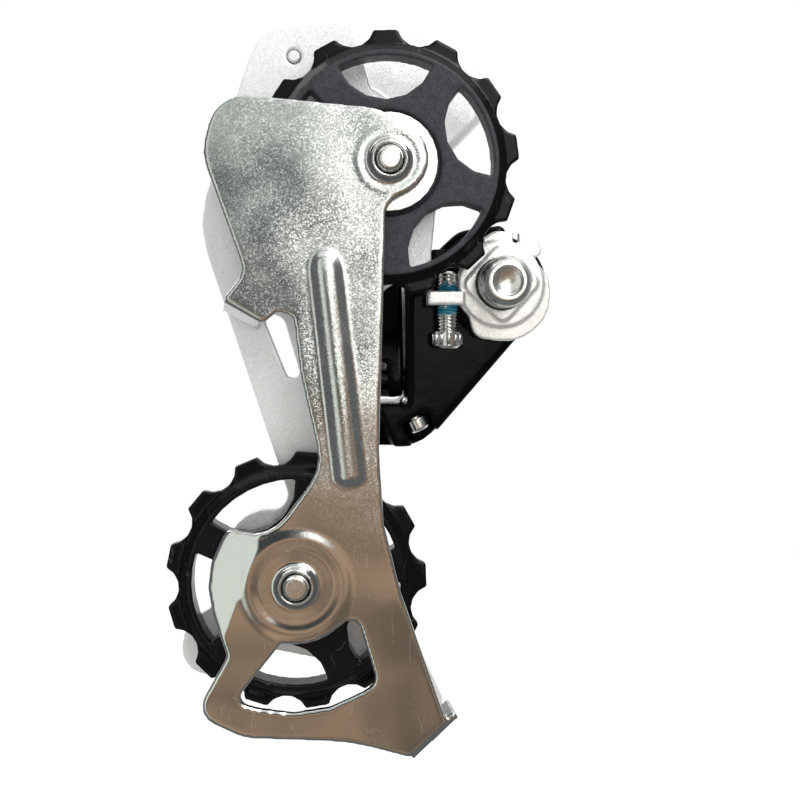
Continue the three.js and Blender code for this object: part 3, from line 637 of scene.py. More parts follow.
def loft(sections: Sequence[Sequence[Vector]], name: str, closed: bool = False) -> bpy.types.Mesh:
    """Solid through closed loops of points, capped at both ends unless the loops close.

    Args:
        sections: Loops with the same number of points.
        name: The mesh's name.
        closed: True where the last loop joins the first.

    Returns:
        The closed mesh.
    """
    work = bmesh.new()
    rings = [[work.verts.new(point) for point in section] for section in sections]
    count = len(rings[0])
    pairs = list(zip(rings, rings[1:])) + ([(rings[-1], rings[0])] if closed else [])
    for low, high in pairs:
        for k in range(count):
            after = (k + 1) % count
            work.faces.new((low[k], low[after], high[after], high[k]))
    if not closed:
        work.faces.new(list(reversed(rings[0])))
        work.faces.new(rings[-1])
    bmesh.ops.remove_doubles(work, verts=work.verts, dist=1e-6)
    bmesh.ops.recalc_face_normals(work, faces=work.faces)
    return to_mesh(work, name)


def turn(profile: Sequence[tuple[float, float]], place: Matrix, name: str,
         steps: int = 72) -> bpy.types.Mesh:
    """Ring turned from a closed profile about local Z.

    Args:
        profile: Radius and height of each point, in metres.
        place: Where the ring goes.
        name: The mesh's name.
        steps: Faces round the ring.

    Returns:
        The closed mesh.
    """
    sections = []
    for k in range(steps):
        angle = 2 * math.pi * k / steps
        sections.append([place @ Vector((r * math.cos(angle), r * math.sin(angle), h))
                         for r, h in profile])
    return loft(sections, name, closed=True)


def fuse(meshes: Iterable[bpy.types.Mesh], name: str) -> bpy.types.Mesh:
    """One mesh that holds the others, which are removed.

    Args:
        meshes: The meshes to join.
        name: The new mesh's name.

    Returns:
        The joined mesh.
    """
    parts = [bpy.data.objects.new(f"{name}_{k}", mesh) for k, mesh in enumerate(meshes)]
    for part in parts:
        bpy.context.scene.collection.objects.link(part)
    with bpy.context.temp_override(active_object=parts[0], selected_editable_objects=parts):
        bpy.ops.object.join()
    whole = parts[0].data
    whole.name = name
    bpy.data.objects.remove(parts[0])
    return whole


def settle(mesh: bpy.types.Mesh, name: str, *modifiers: tuple[str, dict]) -> bpy.types.Mesh:
    """Mesh with modifiers applied.

    Args:
        mesh: The mesh to start from.
        name: The result's name.
        modifiers: Type and settings of each modifier.

    Returns:
        The new mesh.
    """
    holder = bpy.data.objects.new(f"{name}_work", mesh)
    bpy.context.scene.collection.objects.link(holder)
    for kind, settings in modifiers:
        modifier = holder.modifiers.new(kind.title(), kind)
        for key, value in settings.items():
            if key.startswith("Socket_"):
                modifier[key] = value
            else:
                setattr(modifier, key, value)
    graph = bpy.context.evaluated_depsgraph_get()
    result = bpy.data.meshes.new_from_object(holder.evaluated_get(graph), depsgraph=graph)
    bpy.data.objects.remove(holder)
    result.name = name
    return result


def merged_copy(node: str) -> bmesh.types.BMesh:
    """Copy of a CAD node with its loose triangles merged into flat faces.

    Args:
        node: The CAD node.

    Returns:
        The bmesh.
    """
    work = bmesh.new()
    work.from_mesh(frame["nodes"][node].data)
    bmesh.ops.remove_doubles(work, verts=work.verts, dist=2e-6)
    bmesh.ops.dissolve_degenerate(work, edges=work.edges, dist=2e-6)
    bmesh.ops.dissolve_limit(work, angle_limit=math.radians(0.6), verts=work.verts, edges=work.edges)
    return work


def reskin(parts: Iterable[bpy.types.Mesh], name: str, skin: Skin) -> bpy.types.Mesh:
    """One continuous surface over closed parts, with its corners rounded.

    Args:
        parts: Closed meshes, which may overlap.
        name: The new mesh's name.
        skin: How the part was formed.

    Returns:
        The new mesh.
    """
    whole = fuse(parts, f"{name}_rough")
    cover = ("REMESH", {"mode": "VOXEL", "voxel_size": skin.grid, "use_smooth_shade": True})
    rounding = ("SMOOTH", {"factor": 0.5, "iterations": skin.passes})
    return settle(whole, name, cover, rounding)


def break_edges(node: str, name: str, width: float = 0.12 * MM) -> bpy.types.Mesh:
    """Copy of a turned part with a fine rounding on its corners.

    Args:
        node: The CAD node.
        name: The new mesh's name.
        width: Width of the rounding.

    Returns:
        The new mesh.
    """
    mesh = to_mesh(merged_copy(node), name, 180.0)
    bevel = ("BEVEL", {"width": width, "segments": 2, "limit_method": "ANGLE",
                       "angle_limit": math.radians(32), "miter_outer": "MITER_ARC"})
    weighted = ("WEIGHTED_NORMAL", {"keep_sharp": False, "weight": 60})
    return settle(mesh, name, bevel, weighted)


class Shop:
    """Makes finished pieces and gives each to its body."""

    def __init__(self, materials: dict[Slot, bpy.types.Material]) -> None:
        """Args:
            materials: The usual material of each slot.
        """
        self.materials = materials

    def add(self, name: str, mesh: bpy.types.Mesh, body: str, slot: Slot,
            stands_for: Sequence[str] = (), material: bpy.types.Material | None = None) -> None:
        """Puts a finished mesh on its body.

        Args:
            name: The piece's name.
            mesh: Its mesh, in place.
            body: The body that it rides on.
            slot: The record's material slot.
            stands_for: CAD nodes that it replaces.
            material: Its material, where that isn't the slot's usual one.
        """
        mesh.materials.clear()
        mesh.materials.append(material or self.materials[slot])
        piece = bpy.data.objects.new(name, mesh)
        bpy.context.scene.collection.objects.link(piece)
        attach(piece, body)
        if stands_for:
            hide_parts(*stands_for)
        log.info("%s: %d faces on %s", name, len(mesh.polygons), body)

    def form(self, node: str, slot: Slot, skin: Skin,
             material: bpy.types.Material | None = None) -> None:
        """Replaces a CAD node with one continuous, rounded surface.

        Args:
            node: The CAD node.
            slot: The record's material slot.
            skin: How the part was formed.
            material: Its material, where that isn't the slot's usual one.
        """
        rough = to_mesh(merged_copy(node), f"{node}_rough")
        mesh = reskin([rough], f"{node}_skin", skin)
        self.add(f"{node}_skin", mesh, body_of(node), slot, (node,), material)

    def turned(self, node: str, slot: Slot, material: bpy.types.Material | None = None,
               width: float = 0.12 * MM) -> None:
        """Replaces a turned CAD node with a copy whose corners are broken.

        Args:
            node: The CAD node.
            slot: The record's material slot.
            material: Its material, where that isn't the slot's usual one.
            width: Width of the rounding on its corners.
        """
        mesh = break_edges(node, f"{node}_skin", width)
        self.add(f"{node}_skin", mesh, body_of(node), slot, (node,), material)

    def keep(self, node: str, slot: Slot, material: bpy.types.Material | None = None) -> None:
        """Keeps a CAD node as it is and gives it its finish.

        Args:
            node: The CAD node.
            slot: The record's material slot.
            material: Its material, where that isn't the slot's usual one.
        """
        shown = frame["nodes"][node]
        shown.data.materials.clear()
        shown.data.materials.append(material or self.materials[slot])
        log.info("%s: kept from the frame", node)


# ---- Repeated and wound shapes --------------------------------------------------------------
class Winder:
    """Geometry Nodes trees for springs, threads and rings of ribs."""

    def __init__(self) -> None:
        """Builds both trees."""
        self.helix = self._helix()
        self.rib_ring = self._rib_ring()

    @staticmethod
    def _start(name: str, numbers: dict[str, float], counts: dict[str, int]) -> Bench:
        """Starts a tree with a mesh output.

        Args:
            name: The tree's name.
            numbers: Default of each length or turn count.
            counts: Default of each whole number.

        Returns:
            A bench on the tree.
        """
        tree = bpy.data.node_groups.new(name, "GeometryNodeTree")
        sockets = tree.interface
        for label, default in numbers.items():
            socket = sockets.new_socket(label, in_out="INPUT", socket_type="NodeSocketFloat")
            socket.default_value = default
        for label, default in counts.items():
            socket = sockets.new_socket(label, in_out="INPUT", socket_type="NodeSocketInt")
            socket.default_value = default
        sockets.new_socket("Material", in_out="INPUT", socket_type="NodeSocketMaterial")
        sockets.new_socket("Geometry", in_out="OUTPUT", socket_type="NodeSocketGeometry")
        return Bench(tree)

    @staticmethod
    def _end(bench: Bench, given: bpy.types.Node, shape: bpy.types.NodeSocket) -> None:
        """Realizes the shape, smooths it and sets its material.

        Args:
            bench: The bench on the tree.
            given: The tree's input node.
            shape: The shape to finish.
        """
        real = bench.put("GeometryNodeRealizeInstances", {0: shape}).outputs[0]
        smooth = bench.put("GeometryNodeSetShadeSmooth", {0: real}).outputs[0]
        dressed = bench.put("GeometryNodeSetMaterial", {
            "Geometry": smooth, "Material": given.outputs["Material"]}).outputs[0]
        bench.put("NodeGroupOutput", {0: dressed})

    def _helix(self) -> bpy.types.NodeTree:
        """Wire or thread ridge wound about Z.

        Returns:
            The node tree.
        """
        bench = self._start("wound_helix", {"Radius": 0.007, "Wire": 0.0009, "Height": 0.01,
                                            "Turns": 5.0}, {"Steps": 36, "Sides": 10})
        given = bench.put("NodeGroupInput")
        spiral = bench.put("GeometryNodeCurveSpiral", {
            "Resolution": given.outputs["Steps"], "Rotations": given.outputs["Turns"],
            "Start Radius": given.outputs["Radius"], "End Radius": given.outputs["Radius"],
            "Height": given.outputs["Height"]})
        section = bench.put("GeometryNodeCurvePrimitiveCircle", {
            "Resolution": given.outputs["Sides"], "Radius": given.outputs["Wire"]})
        tube = bench.put("GeometryNodeCurveToMesh", {
            "Curve": spiral.outputs[0], "Profile Curve": section.outputs[0], "Fill Caps": True})
        self._end(bench, given, tube.outputs[0])
        return bench.tree

    def _rib_ring(self) -> bpy.types.NodeTree:
        """Straight ribs round a barrel, along Z.

        Returns:
            The node tree.
        """
        bench = self._start("rib_ring", {"Radius": 0.004, "Rib": 0.0004, "Height": 0.004},
                            {"Count": 20})
        given = bench.put("NodeGroupInput")
        circle = bench.put("GeometryNodeMeshCircle", {
            "Vertices": given.outputs["Count"], "Radius": given.outputs["Radius"]})
        rib = bench.put("GeometryNodeMeshCylinder", {
            "Vertices": 6, "Radius": given.outputs["Rib"], "Depth": given.outputs["Height"]})
        ribs = bench.put("GeometryNodeInstanceOnPoints", {
            "Points": circle.outputs[0], "Instance": rib.outputs[0]})
        self._end(bench, given, ribs.outputs[0])
        return bench.tree

    @staticmethod
    def run(tree: bpy.types.NodeTree, name: str, place: Matrix, **values: object) -> bpy.types.Mesh:
        """Runs a tree and puts its mesh in place.

        Args:
            tree: The Geometry Nodes tree.
            name: The mesh's name.
            place: Matrix from the tree's own axes to the frame's.
            values: The tree's inputs by name, in small letters.

        Returns:
            The plain mesh.
        """
        sockets = {item.name.lower(): item.identifier for item in tree.interface.items_tree
                   if item.in_out == "INPUT"}
        settings = {"node_group": tree}
        settings.update({sockets[key]: value for key, value in values.items()})
        mesh = settle(bpy.data.meshes.new(f"{name}_seed"), name, ("NODES", settings))
        mesh.transform(place)
        return mesh

    def wind(self, shop: Shop, name: str, body: str, slot: Slot, place: Matrix,
             stands_for: Sequence[str] = (), material: bpy.types.Material | None = None,
             **values: float) -> None:
        """Winds a helix and puts it on its body as a piece.

        Args:
            shop: Where the piece is made.
            name: The piece's name.
            body: The body that it rides on.
            slot: The record's material slot.
            place: Matrix from the helix's own axes to the frame's.
            stands_for: CAD nodes that it replaces.
            material: Its material, where that isn't the slot's usual one.
            values: The helix's sizes, by the tree's input names in small letters.
        """
        shop.add(name, self.run(self.helix, name, place, **values), body, slot, stands_for, material)

    def pivot_coil(self, shop: Shop, node: str, radius: float, wire: float, turns: float) -> None:
        """Winds a coil about Y that fills the length of a CAD spring.

        Args:
            shop: Where the piece is made.
            node: The CAD spring, which the coil replaces.
            radius: Radius of the coil's middle line.
            wire: Radius of the wire.
            turns: Number of turns.
        """
        low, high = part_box(node)
        middle = centre_of(node)
        start = Vector((middle.x, low.y + wire, middle.z))
        self.wind(shop, f"{node}_coil", body_of(node), Slot.SPRING, along(start, OUTBOARD), (node,),
                  radius=radius, wire=wire, height=high.y - low.y - 2 * wire, turns=turns,
                  steps=36, sides=10)


# ---- Cage -----------------------------------------------------------------------------------
@dataclass
class Cage:
    """The two plates, both pulleys and what holds them."""

    shop: Shop
    winder: Winder
    effects: Effects
    rib_top: tuple[float, float] = (-8.6 * MM, -19.4 * MM)
    rib_bottom: tuple[float, float] = (6.2 * MM, -62.9 * MM)
    rib_half_width: float = 3.2 * MM
    rib_rise: float = 1.12 * MM
    rib_sunk: float = 0.4 * MM
    relief: float = 1.2 * MM
    folds: tuple[tuple[str, float, float, float], ...] = (
        ("tension", 9.3 * MM, 2.2 * MM, 0.16 * MM), ("guide", 6.0 * MM, 0.9 * MM, 0.1 * MM))
    fold_sunk: float = 0.5 * MM
    collar_profile: tuple[tuple[float, float], ...] = (
        (2.85, 0.95), (3.05, 1.25), (3.35, 1.3), (3.7, 1.05), (3.85, 0.5), (4.1, 0.05),
        (4.4, -0.3), (2.85, -0.3))
    wing_line: tuple[tuple[float, float], tuple[float, float]] = (
        (-8.5 * MM, -75.7 * MM), (-10.9 * MM, -95.4 * MM))
    wing_tilt: float = 10.0
    wing_fade: float = 4.0 * MM
    wing_round: float = 0.8 * MM
    bolt_radius: float = 2.5 * MM
    bolt_round: float = 0.45 * MM
    thread_start: float = 0.55 * MM
    thread_sunk: float = 0.1 * MM
    thread_wire: float = 0.22 * MM
    thread_length: float = 1.3 * MM
    thread_turns: float = 1.7
    ridge_radius: float = 21.6 * MM
    place: Matrix = field(default_factory=cage_place)

    def build(self) -> None:
        """Makes every piece of the cage."""
        self.inner_plate()
        self.shop.form("outer_cage_plate", Slot.SILVER, Skin.PRESSED)
        self.shop.turned("cage_stop_pin", Slot.SILVER)
        self.shop.turned("p_axle", Slot.NICKEL)
        for name in ("guide", "tension"):
            self.pulley(name)

    def plate_face(self) -> float:
        """Local Y of the inner plate's bare face.

        Returns:
            The height in metres.
        """
        low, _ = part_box("inner_cage_plate")
        return low.y + self.relief - self.place.translation.y

    def inner_plate(self) -> None:
        """Forms the bright plate: its rib, folds, collars and bent wing."""
        work = merged_copy("inner_cage_plate")
        parts = [to_mesh(work, "plate_blank"), self.rib()]
        for name, radius, half, rise in self.folds:
            parts += [self.fold(name, radius, half, rise), self.collar(name)]
        whole = reskin(parts, "inner_cage_plate_skin", Skin.PRESSED)
        self.bend_wing(whole)
        finish = PlatedSteel("bright_zinc_sheet", (0.67, 0.685, 0.665, 1), 0.18, crystals=4500.0,
                             tilt=0.055, smooth_below=-0.044, wave=0.0007)
        self.shop.add("inner_cage_plate_skin", whole, "cage", Slot.ZINC, ("inner_cage_plate",),
                      finish.make(self.effects))

    def bend_wing(self, plate: bpy.types.Mesh) -> None:
        """Bends the wing beside the tension pulley's bolt back by a few degrees.

        Args:
            plate: The finished plate, in the frame's axes.
        """
        (x0, z0), (x1, z1) = self.wing_line
        slope = math.tan(math.radians(self.wing_tilt))
        run = Vector((x1 - x0, z1 - z0)).normalized()
        to_local = self.place.inverted()
        for vertex in plate.vertices:
            local = to_local @ vertex.co
            beyond = max(0.0, (local.x - x0) * run.y - (local.z - z0) * run.x)
            drop = slope * beyond * beyond / (beyond + self.wing_round)
            above = (z0 - local.z) / self.wing_fade + 1
            below = (local.z - z1) / self.wing_fade + 1
            share = min(1.0, max(0.0, above)) * min(1.0, max(0.0, below))
            vertex.co.y += drop * share

    def rib(self) -> bpy.types.Mesh:
        """Pressed rib: a smooth swelling that fades in at the top and stops short below.

        Returns:
            The closed mesh.
        """
        top = Vector((self.rib_top[0], 0, self.rib_top[1]))
        bottom = Vector((self.rib_bottom[0], 0, self.rib_bottom[1]))
        down = (bottom - top).normalized()
        across = down.cross(Vector((0, 1, 0)))
        face = self.plate_face()
        across_steps = 14
        stations = 30
        sections = []
        for i in range(stations + 1):
            t = i / stations
            fade_in = math.sin(math.pi / 2 * min(1.0, t / 0.09)) ** 0.8
            fade_out = math.sin(math.pi / 2 * min(1.0, (1 - t) / 0.03)) ** 0.8
            size = max(0.02, min(fade_in, fade_out))
            middle = top.lerp(bottom, t)
            crest = []
            for k in range(across_steps + 1):
                w = 2 * k / across_steps - 1
                rise = self.rib_rise * size * (1 - abs(w) ** 2.5) ** 1.3
                crest.append(middle + across * w * self.rib_half_width * (0.55 + 0.45 * size)
                             + Vector((0, face - rise + 0.01 * MM, 0)))
            base = [Vector((crest[-1].x, face + self.rib_sunk, crest[-1].z)),
                    Vector((crest[0].x, face + self.rib_sunk, crest[0].z))]
            sections.append([self.place @ point for point in crest + base])
        return loft(sections, "plate_rib")

    def face_on_axis(self, name: str) -> Matrix:
        """Place on the plate's bare face at a pulley's axis, with local Z off the face.

        Args:
            name: guide or tension.

        Returns:
            The 4 x 4 matrix.
        """
        axis, _ = joint_line(f"{name}_spin")
        local = self.place.inverted() @ axis
        middle = self.place @ Vector((local.x, self.plate_face(), local.z))
        return along(middle, Vector((0, -1, 0)))

    def fold(self, name: str, radius: float, half: float, rise: float) -> bpy.types.Mesh:
        """Low round fold about a pulley's axis.

        Args:
            name: guide or tension.
            radius: Radius of its crest.
            half: Half its width.
            rise: Its height.

        Returns:
            The closed ring.
        """
        steps = 8
        crest = []
        for k in range(steps + 1):
            w = 2 * k / steps - 1
            crest.append((radius + w * half, rise * math.cos(w * math.pi / 2) ** 2))
        profile = crest + [(radius + half, -self.fold_sunk), (radius - half, -self.fold_sunk)]
        return turn(profile, self.face_on_axis(name), f"{name}_fold", 96)

    def collar(self, name: str) -> bpy.types.Mesh:
        """Drawn collar that holds a pulley's bolt, with a rounded rim and a fillet.

        Args:
            name: guide or tension.

        Returns:
            The closed ring.
        """
        scaled = [(radius * MM, rise * MM) for radius, rise in self.collar_profile]
        return turn(scaled, self.face_on_axis(name), f"{name}_collar", 48)

    def pulley(self, name: str) -> None:
        """Softens a pulley and its bearing parts and threads its bolt.

        Args:
            name: guide or tension.
        """
        axis, _ = joint_line(f"{name}_spin")
        matt = name == "guide"
        # The guide's face gets a strong painted sheen on its grain, and the tension pulley's a faint one.
        finish = MouldedNylon(
            f"{name}_nylon", (0.002, 0.002, 0.0024, 1), 0.4 if matt else 0.2,
            axis_point=axis, face_radius=self.ridge_radius, grain_strength=0.6 if matt else 0.2,
            face_gain=36.0 if matt else 3.0)
        nylon = finish.make(self.effects)
        self.shop.form(f"{name}_pulley", Slot.NYLON, Skin.MOULDED, nylon)
        self.shop.keep(f"{name}_bush", Slot.SPRING)
        for node in (f"{name}_cap_inner", f"{name}_cap_outer"):
            self.shop.turned(node, Slot.NICKEL)
        self.shop.turned(f"{name}_bolt", Slot.NICKEL, width=self.bolt_round)
        low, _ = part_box(f"{name}_bolt")
        start = Vector((axis.x, low.y + self.thread_start, axis.z))
        self.winder.wind(
            self.shop, f"{name}_bolt_thread", "cage", Slot.NICKEL, along(start, OUTBOARD),
            radius=self.bolt_radius - self.thread_sunk, wire=self.thread_wire,
            height=self.thread_length, turns=self.thread_turns, steps=40, sides=4)


# ---- Cage knuckle and links -----------------------------------------------------------------
@dataclass
class Linkage:
    """The cage knuckle, both links, their pins, the return spring and the cable clamp."""

    shop: Shop
    winder: Winder
    spring_radius: float = 1.8 * MM
    spring_wire: float = 0.45 * MM
    spring_turns: float = 22.0
    near_hook: float = 4.2 * MM
    far_hook: float = 9.0 * MM
    pivot_radius: float = 7.0 * MM
    pivot_wire: float = 0.95 * MM
    pivot_turns: float = 4.0

    def build(self) -> None:
        """Makes every piece of the linkage."""
        self.shop.form("p_knuckle", Slot.SILVER, Skin.CAST)
        self.shop.form("outer_link", Slot.SILVER, Skin.CAST)
        self.shop.form("inner_link", Slot.BLACK, Skin.CAST)
        self.shop.turned("p_seal", Slot.NYLON)
        self.shop.turned("cable_clamp_washer", Slot.ZINC)
        for node in ("p_inner_pin", "p_outer_pin", "cable_anchor_bolt"):
            self.shop.turned(node, Slot.NICKEL)
        self.return_spring()
        self.winder.pivot_coil(self.shop, "p_spring", self.pivot_radius, self.pivot_wire,
                               self.pivot_turns)

    def return_spring(self) -> None:
        """Winds the return spring's coil across the parallelogram, stopping short of each pin to leave room for a
        hook.
        """
        near, _ = joint_line("outer_link_swing")
        far = centre_of("p_inner_pin")
        x = centre_of("return_spring").x
        start = Vector((x, near.y, near.z))
        end = Vector((x, far.y, far.z))
        reach = (end - start).normalized()
        length = (end - start).length - self.near_hook - self.far_hook
        self.winder.wind(
            self.shop, "return_spring_coil", body_of("return_spring"), Slot.SPRING,
            along(start + reach * self.near_hook, reach), ("return_spring",),
            radius=self.spring_radius, wire=self.spring_wire, height=length,
            turns=self.spring_turns, steps=24, sides=8)


# ---- Hanger knuckle and bolt ----------------------------------------------------------------
@dataclass
class HangerEnd:
    """The hanger knuckle with its screws and adjuster, and the bolt with its stop plate."""

    shop: Shop
    winder: Winder
    effects: Effects
    bolt_radius: float = 5.0 * MM
    bolt_pitch: float = 1.0 * MM
    screw_radius: float = 2.0 * MM
    screw_pitch: float = 0.7 * MM
    coil_radius: float = 7.0 * MM
    coil_wire: float = 0.9 * MM
    coil_turns: float = 6.0
    bolt_round: float = 0.3 * MM
    thread_start: float = 1.5 * MM
    thread_length: float = 6.0 * MM
    screw_head: float = 3.4 * MM
    lock_bands: tuple[tuple[float, float], ...] = ((6.9 * MM, 8.9 * MM), (11.3 * MM, 12.9 * MM))

    def build(self) -> None:
        """Makes every piece at the hanger."""
        self.shop.form("b_knuckle", Slot.BLACK, Skin.CAST)
        stamped = PlatedSteel("stamped_zinc", (0.97, 0.97, 0.94, 1), 0.3, tilt=0.03, metal=0.75)
        self.shop.form("stop_plate", Slot.ZINC, Skin.STAMPED, stamped.make(self.effects))
        self.shop.turned("bolt_clip", Slot.SPRING)
        self.shop.turned("barrel_adjuster", Slot.NYLON)
        blued = PlatedSteel("blued_steel", (0.02, 0.02, 0.022, 1), 0.35, tilt=0.02)
        dark = blued.make(self.effects)
        for node in ("b_inner_pin", "b_outer_pin"):
            self.shop.turned(node, Slot.NICKEL, dark)
        for node in ("high_limit_screw", "low_limit_screw"):
            self.shop.turned(node, Slot.NICKEL)
        self.mounting_bolt()
        self.tension_screw()
        self.winder.pivot_coil(self.shop, "b_spring", self.coil_radius, self.coil_wire,
                               self.coil_turns)
        self.adjuster_details()

    def mounting_bolt(self) -> None:
        """Softens the hanger bolt and cuts its thread."""
        self.shop.turned("mounting_bolt", Slot.NICKEL, width=self.bolt_round)
        low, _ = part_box("mounting_bolt")
        middle = centre_of("mounting_bolt")
        start = Vector((middle.x, low.y + self.thread_start, middle.z))
        self.winder.wind(
            self.shop, "mounting_bolt_thread", "hanger_side", Slot.NICKEL, along(start, OUTBOARD),
            radius=self.bolt_radius - 0.16 * MM, wire=0.34 * MM, height=self.thread_length,
            turns=self.thread_length / self.bolt_pitch, steps=48, sides=4)

    def tension_screw(self) -> None:
        """Softens the B-tension screw, cuts its thread and ribs its head."""
        low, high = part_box("b_tension_screw")
        middle = centre_of("b_tension_screw")
        finish = LockedThread(
            "thread_locked_screw", (0.74, 0.74, 0.72, 1), 0.2,
            bands=tuple((low.z + foot, low.z + top) for foot, top in self.lock_bands))
        locked = finish.make(self.effects)
        self.shop.turned("b_tension_screw", Slot.NICKEL, locked)
        start = Vector((middle.x, middle.y, low.z + self.screw_head + 0.3 * MM))
        length = high.z - start.z - 0.6 * MM
        up = Vector((0, 0, 1))
        self.winder.wind(
            self.shop, "b_tension_screw_thread", "tension_screw", Slot.NICKEL, along(start, up),
            material=locked, radius=self.screw_radius - 0.12 * MM, wire=0.25 * MM, height=length,
            turns=length / self.screw_pitch, steps=36, sides=4)
        ribs = self.winder.run(
            self.winder.rib_ring, "tension_head_ribs",
            along(Vector((middle.x, middle.y, low.z + 1.9 * MM)), up),
            radius=2.75 * MM, rib=0.42 * MM, height=2.2 * MM, count=12)
        self.shop.add("b_tension_screw_ribs", ribs, "tension_screw", Slot.NICKEL)

    def adjuster_details(self) -> None:
        """Ribs the barrel adjuster's grip and winds the small spring above it."""
        top, up = joint_line("adjuster_turn")
        grip = top - up * 15.8 * MM
        ribs = self.winder.run(
            self.winder.rib_ring, "adjuster_ribs", along(grip, up),
            radius=4.15 * MM, rib=0.38 * MM, height=5.6 * MM, count=22)
        self.shop.add("barrel_adjuster_ribs", ribs, "adjuster", Slot.NYLON)
        self.winder.wind(
            self.shop, "adjuster_spring_coil", body_of("adjuster_spring"), Slot.SPRING,
            along(top - up * 10.6 * MM, up), ("adjuster_spring",),
            radius=3.45 * MM, wire=0.42 * MM, height=3.4 * MM, turns=3.2, steps=30, sides=8)


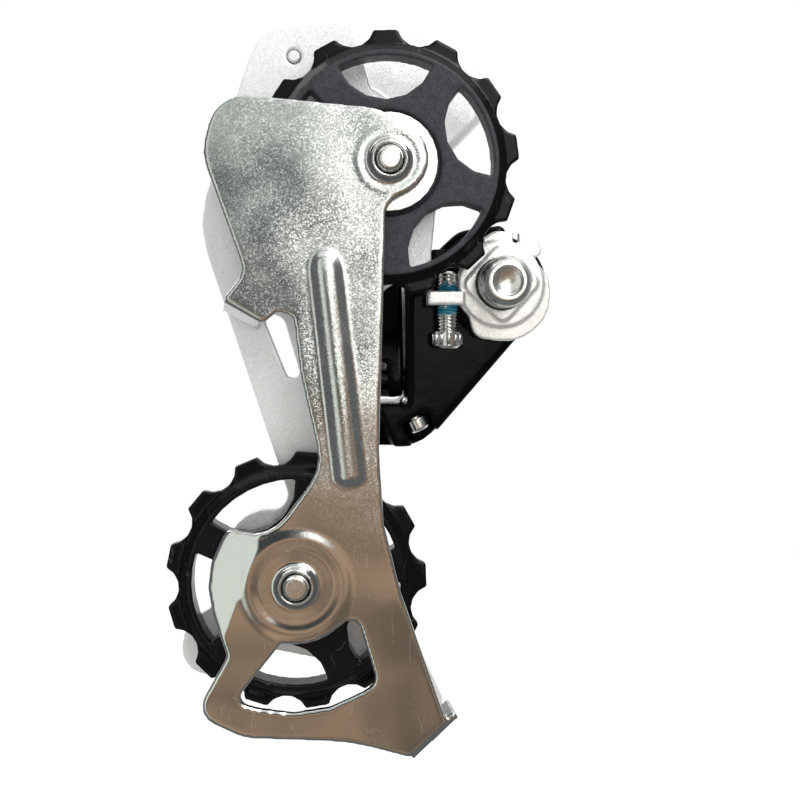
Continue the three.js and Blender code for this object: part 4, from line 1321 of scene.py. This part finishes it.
# ---- Studio ---------------------------------------------------------------------------------
@dataclass
class Studio:
    """Pale floor, soft lights and the camera."""

    eye: Vector = field(default_factory=lambda: Vector((-0.03324, -0.2037, -0.01259)))
    ahead: Vector = field(default_factory=lambda: Vector((0.0606, 0.99667, -0.05463)))
    floor_drop: float = 0.03
    floor_radius: float = 0.8
    fade_start: float = 0.12
    fade_end: float = 0.5
    lens: float = 45.0
    sensor: float = 36.0
    white: Colour = (1.0, 1.0, 1.0, 1.0)

    def build(self) -> None:
        """Sets up the whole studio."""
        self.camera()
        self.floor()
        self.world()
        self.lamp("key_light", Vector((0.16, -0.26, 0.34)), 0.26, 1.5)
        self.lamp("rim_light", Vector((-0.3, 0.1, 0.3)), 0.3, 0.8)
        bpy.context.scene.view_settings.view_transform = "Standard"

    def camera(self) -> None:
        """Looks at the object's wheel side, level with no roll."""
        data = bpy.data.cameras.new("view")
        data.lens = self.lens
        data.sensor_width = self.sensor
        data.clip_start = 0.01
        camera = bpy.data.objects.new("view", data)
        bpy.context.scene.collection.objects.link(camera)
        right = self.ahead.cross(Vector((0, 0, 1))).normalized()
        up = right.cross(self.ahead).normalized()
        turn_to = Matrix((right, up, -self.ahead.normalized())).transposed().to_4x4()
        camera.matrix_world = Matrix.Translation(self.eye) @ turn_to
        bpy.context.scene.camera = camera

    def floor(self) -> None:
        """Round pale floor under the object, which fades out towards its rim."""
        low = Vector(CAD_BOUNDS[0])
        rings = 24
        work = bmesh.new()
        bmesh.ops.create_grid(work, x_segments=rings, y_segments=rings, size=self.floor_radius)
        for vert in work.verts:
            bulge = max(abs(vert.co.x), abs(vert.co.y)) / max(vert.co.length, 1e-9)
            vert.co *= bulge
            vert.co.z = low.z - self.floor_drop
        mesh = to_mesh(work, "floor")
        material = bpy.data.materials.new("pale_floor")
        material.use_nodes = True
        bench = Bench(material.node_tree)
        shader = material.node_tree.nodes["Principled BSDF"]
        shader.inputs["Base Color"].default_value = (0.97, 0.97, 0.97, 1)
        shader.inputs["Roughness"].default_value = 0.7
        reach = bench.distance(bench.place(), (1, 1, 0))
        fade = bench.step(reach, self.floor_radius * self.fade_end, self.floor_radius * self.fade_start)
        bench.tree.links.new(fade, shader.inputs["Alpha"])
        mesh.materials.append(material)
        floor = bpy.data.objects.new("floor", mesh)
        floor.visible_glossy = False
        bpy.context.scene.collection.objects.link(floor)

    def world(self) -> None:
        """White surroundings that mirror as a softbox above and a warm bench below."""
        world = bpy.data.worlds.new("soft_studio")
        world.use_nodes = True
        bench = Bench(world.node_tree)
        ray = bench.put("ShaderNodeTexCoord").outputs["Generated"]
        split = bench.put("ShaderNodeSeparateXYZ", {0: ray})
        side, depth, height = split.outputs
        rising = bench.math("MULTIPLY", bench.math("MAXIMUM", side, 0.0), 0.5)
        above = bench.step(bench.math("SUBTRACT", height, rising), -0.15, -0.07)
        ceiling = bench.step(height, 0.1, 0.26)
        upper = bench.tint(ceiling, (0.05, 0.06, 0.065, 1), (0.64, 0.7, 0.66, 1))
        window = bench.step(side, -0.02, 0.06)
        upper = bench.tint(window, upper, (2.1, 2.1, 2.05, 1))
        clutter = bench.step(bench.noise(ray, 5.0, 2.0), 0.35, 0.65)
        lower = bench.tint(clutter, (0.19, 0.145, 0.11, 1), (0.58, 0.385, 0.26, 1))
        front = bench.tint(above, lower, upper)
        front = bench.tint(bench.step(side, -0.22, -0.3), front, (0.98, 1.03, 0.96, 1))
        facing = bench.step(bench.math("MULTIPLY", depth, -1.0), 0.72, 0.88)
        bench_top = bench.step(depth, 0.1, 0.5)
        room = bench.tint(bench_top, (0.16, 0.165, 0.17, 1), (0.9, 0.9, 0.9, 1))
        room = bench.tint(bench.step(height, 0.6, 0.8), room, (1.1, 1.1, 1.1, 1))
        mirrored = bench.tint(facing, room, front)
        path = bench.put("ShaderNodeLightPath").outputs
        lit = bench.tint(path["Is Diffuse Ray"], mirrored, (0.8, 0.8, 0.8, 1))
        colour = bench.tint(path["Is Camera Ray"], lit, self.white)
        background = world.node_tree.nodes["Background"]
        bench.tree.links.new(colour, background.inputs["Color"])
        bpy.context.scene.world = world

    def lamp(self, name: str, spot: Vector, size: float, power: float) -> None:
        """Adds a square soft light that faces the object's middle.

        Args:
            name: The light's name.
            spot: Where it stands.
            size: Length of its side.
            power: Its power in watts.
        """
        data = bpy.data.lights.new(name, "AREA")
        data.size = size
        data.energy = power
        lamp = bpy.data.objects.new(name, data)
        bpy.context.scene.collection.objects.link(lamp)
        low, high = (Vector(corner) for corner in CAD_BOUNDS)
        toward = (low + high) / 2 - spot
        lamp.matrix_world = Matrix.Translation(spot) @ toward.to_track_quat("-Z", "Y").to_matrix().to_4x4()


def usual_materials(effects: Effects) -> dict[Slot, bpy.types.Material]:
    """The usual material of each slot.

    Args:
        effects: The shared effects.

    Returns:
        One material for each slot.
    """
    finishes = {
        Slot.ZINC: PlatedSteel("bright_zinc", (0.82, 0.82, 0.80, 1), 0.26, tilt=0.03),
        Slot.SILVER: FlakePaint("silver_flake_paint", (0.85, 0.855, 0.85, 1), 0.3),
        Slot.BLACK: GlossPaint("gloss_black_paint", (0.0015, 0.0018, 0.0018, 1), 0.12),
        # Other nylon parts get the default painted sheen on their grain all over.
        Slot.NYLON: MouldedNylon("moulded_nylon", (0.012, 0.012, 0.0125, 1), 0.4),
        Slot.NICKEL: PlatedSteel("nickel_plate", (0.82, 0.81, 0.78, 1), 0.22, crystals=5000.0,
                                 tilt=0.02),
        Slot.SPRING: PlatedSteel("oiled_spring_steel", (0.36, 0.37, 0.38, 1), 0.3, tilt=0.04),
    }
    return {slot: finish.make(effects) for slot, finish in finishes.items()}


def main() -> None:
    """Builds every sub-assembly, then the studio."""
    logging.basicConfig(level=logging.INFO, format="%(name)s: %(message)s")
    effects = Effects()
    shop = Shop(usual_materials(effects))
    winder = Winder()
    for assembly in (Cage(shop, winder, effects), Linkage(shop, winder),
                     HangerEnd(shop, winder, effects), Studio()):
        assembly.build()


if __name__ == "__main__":
    main()
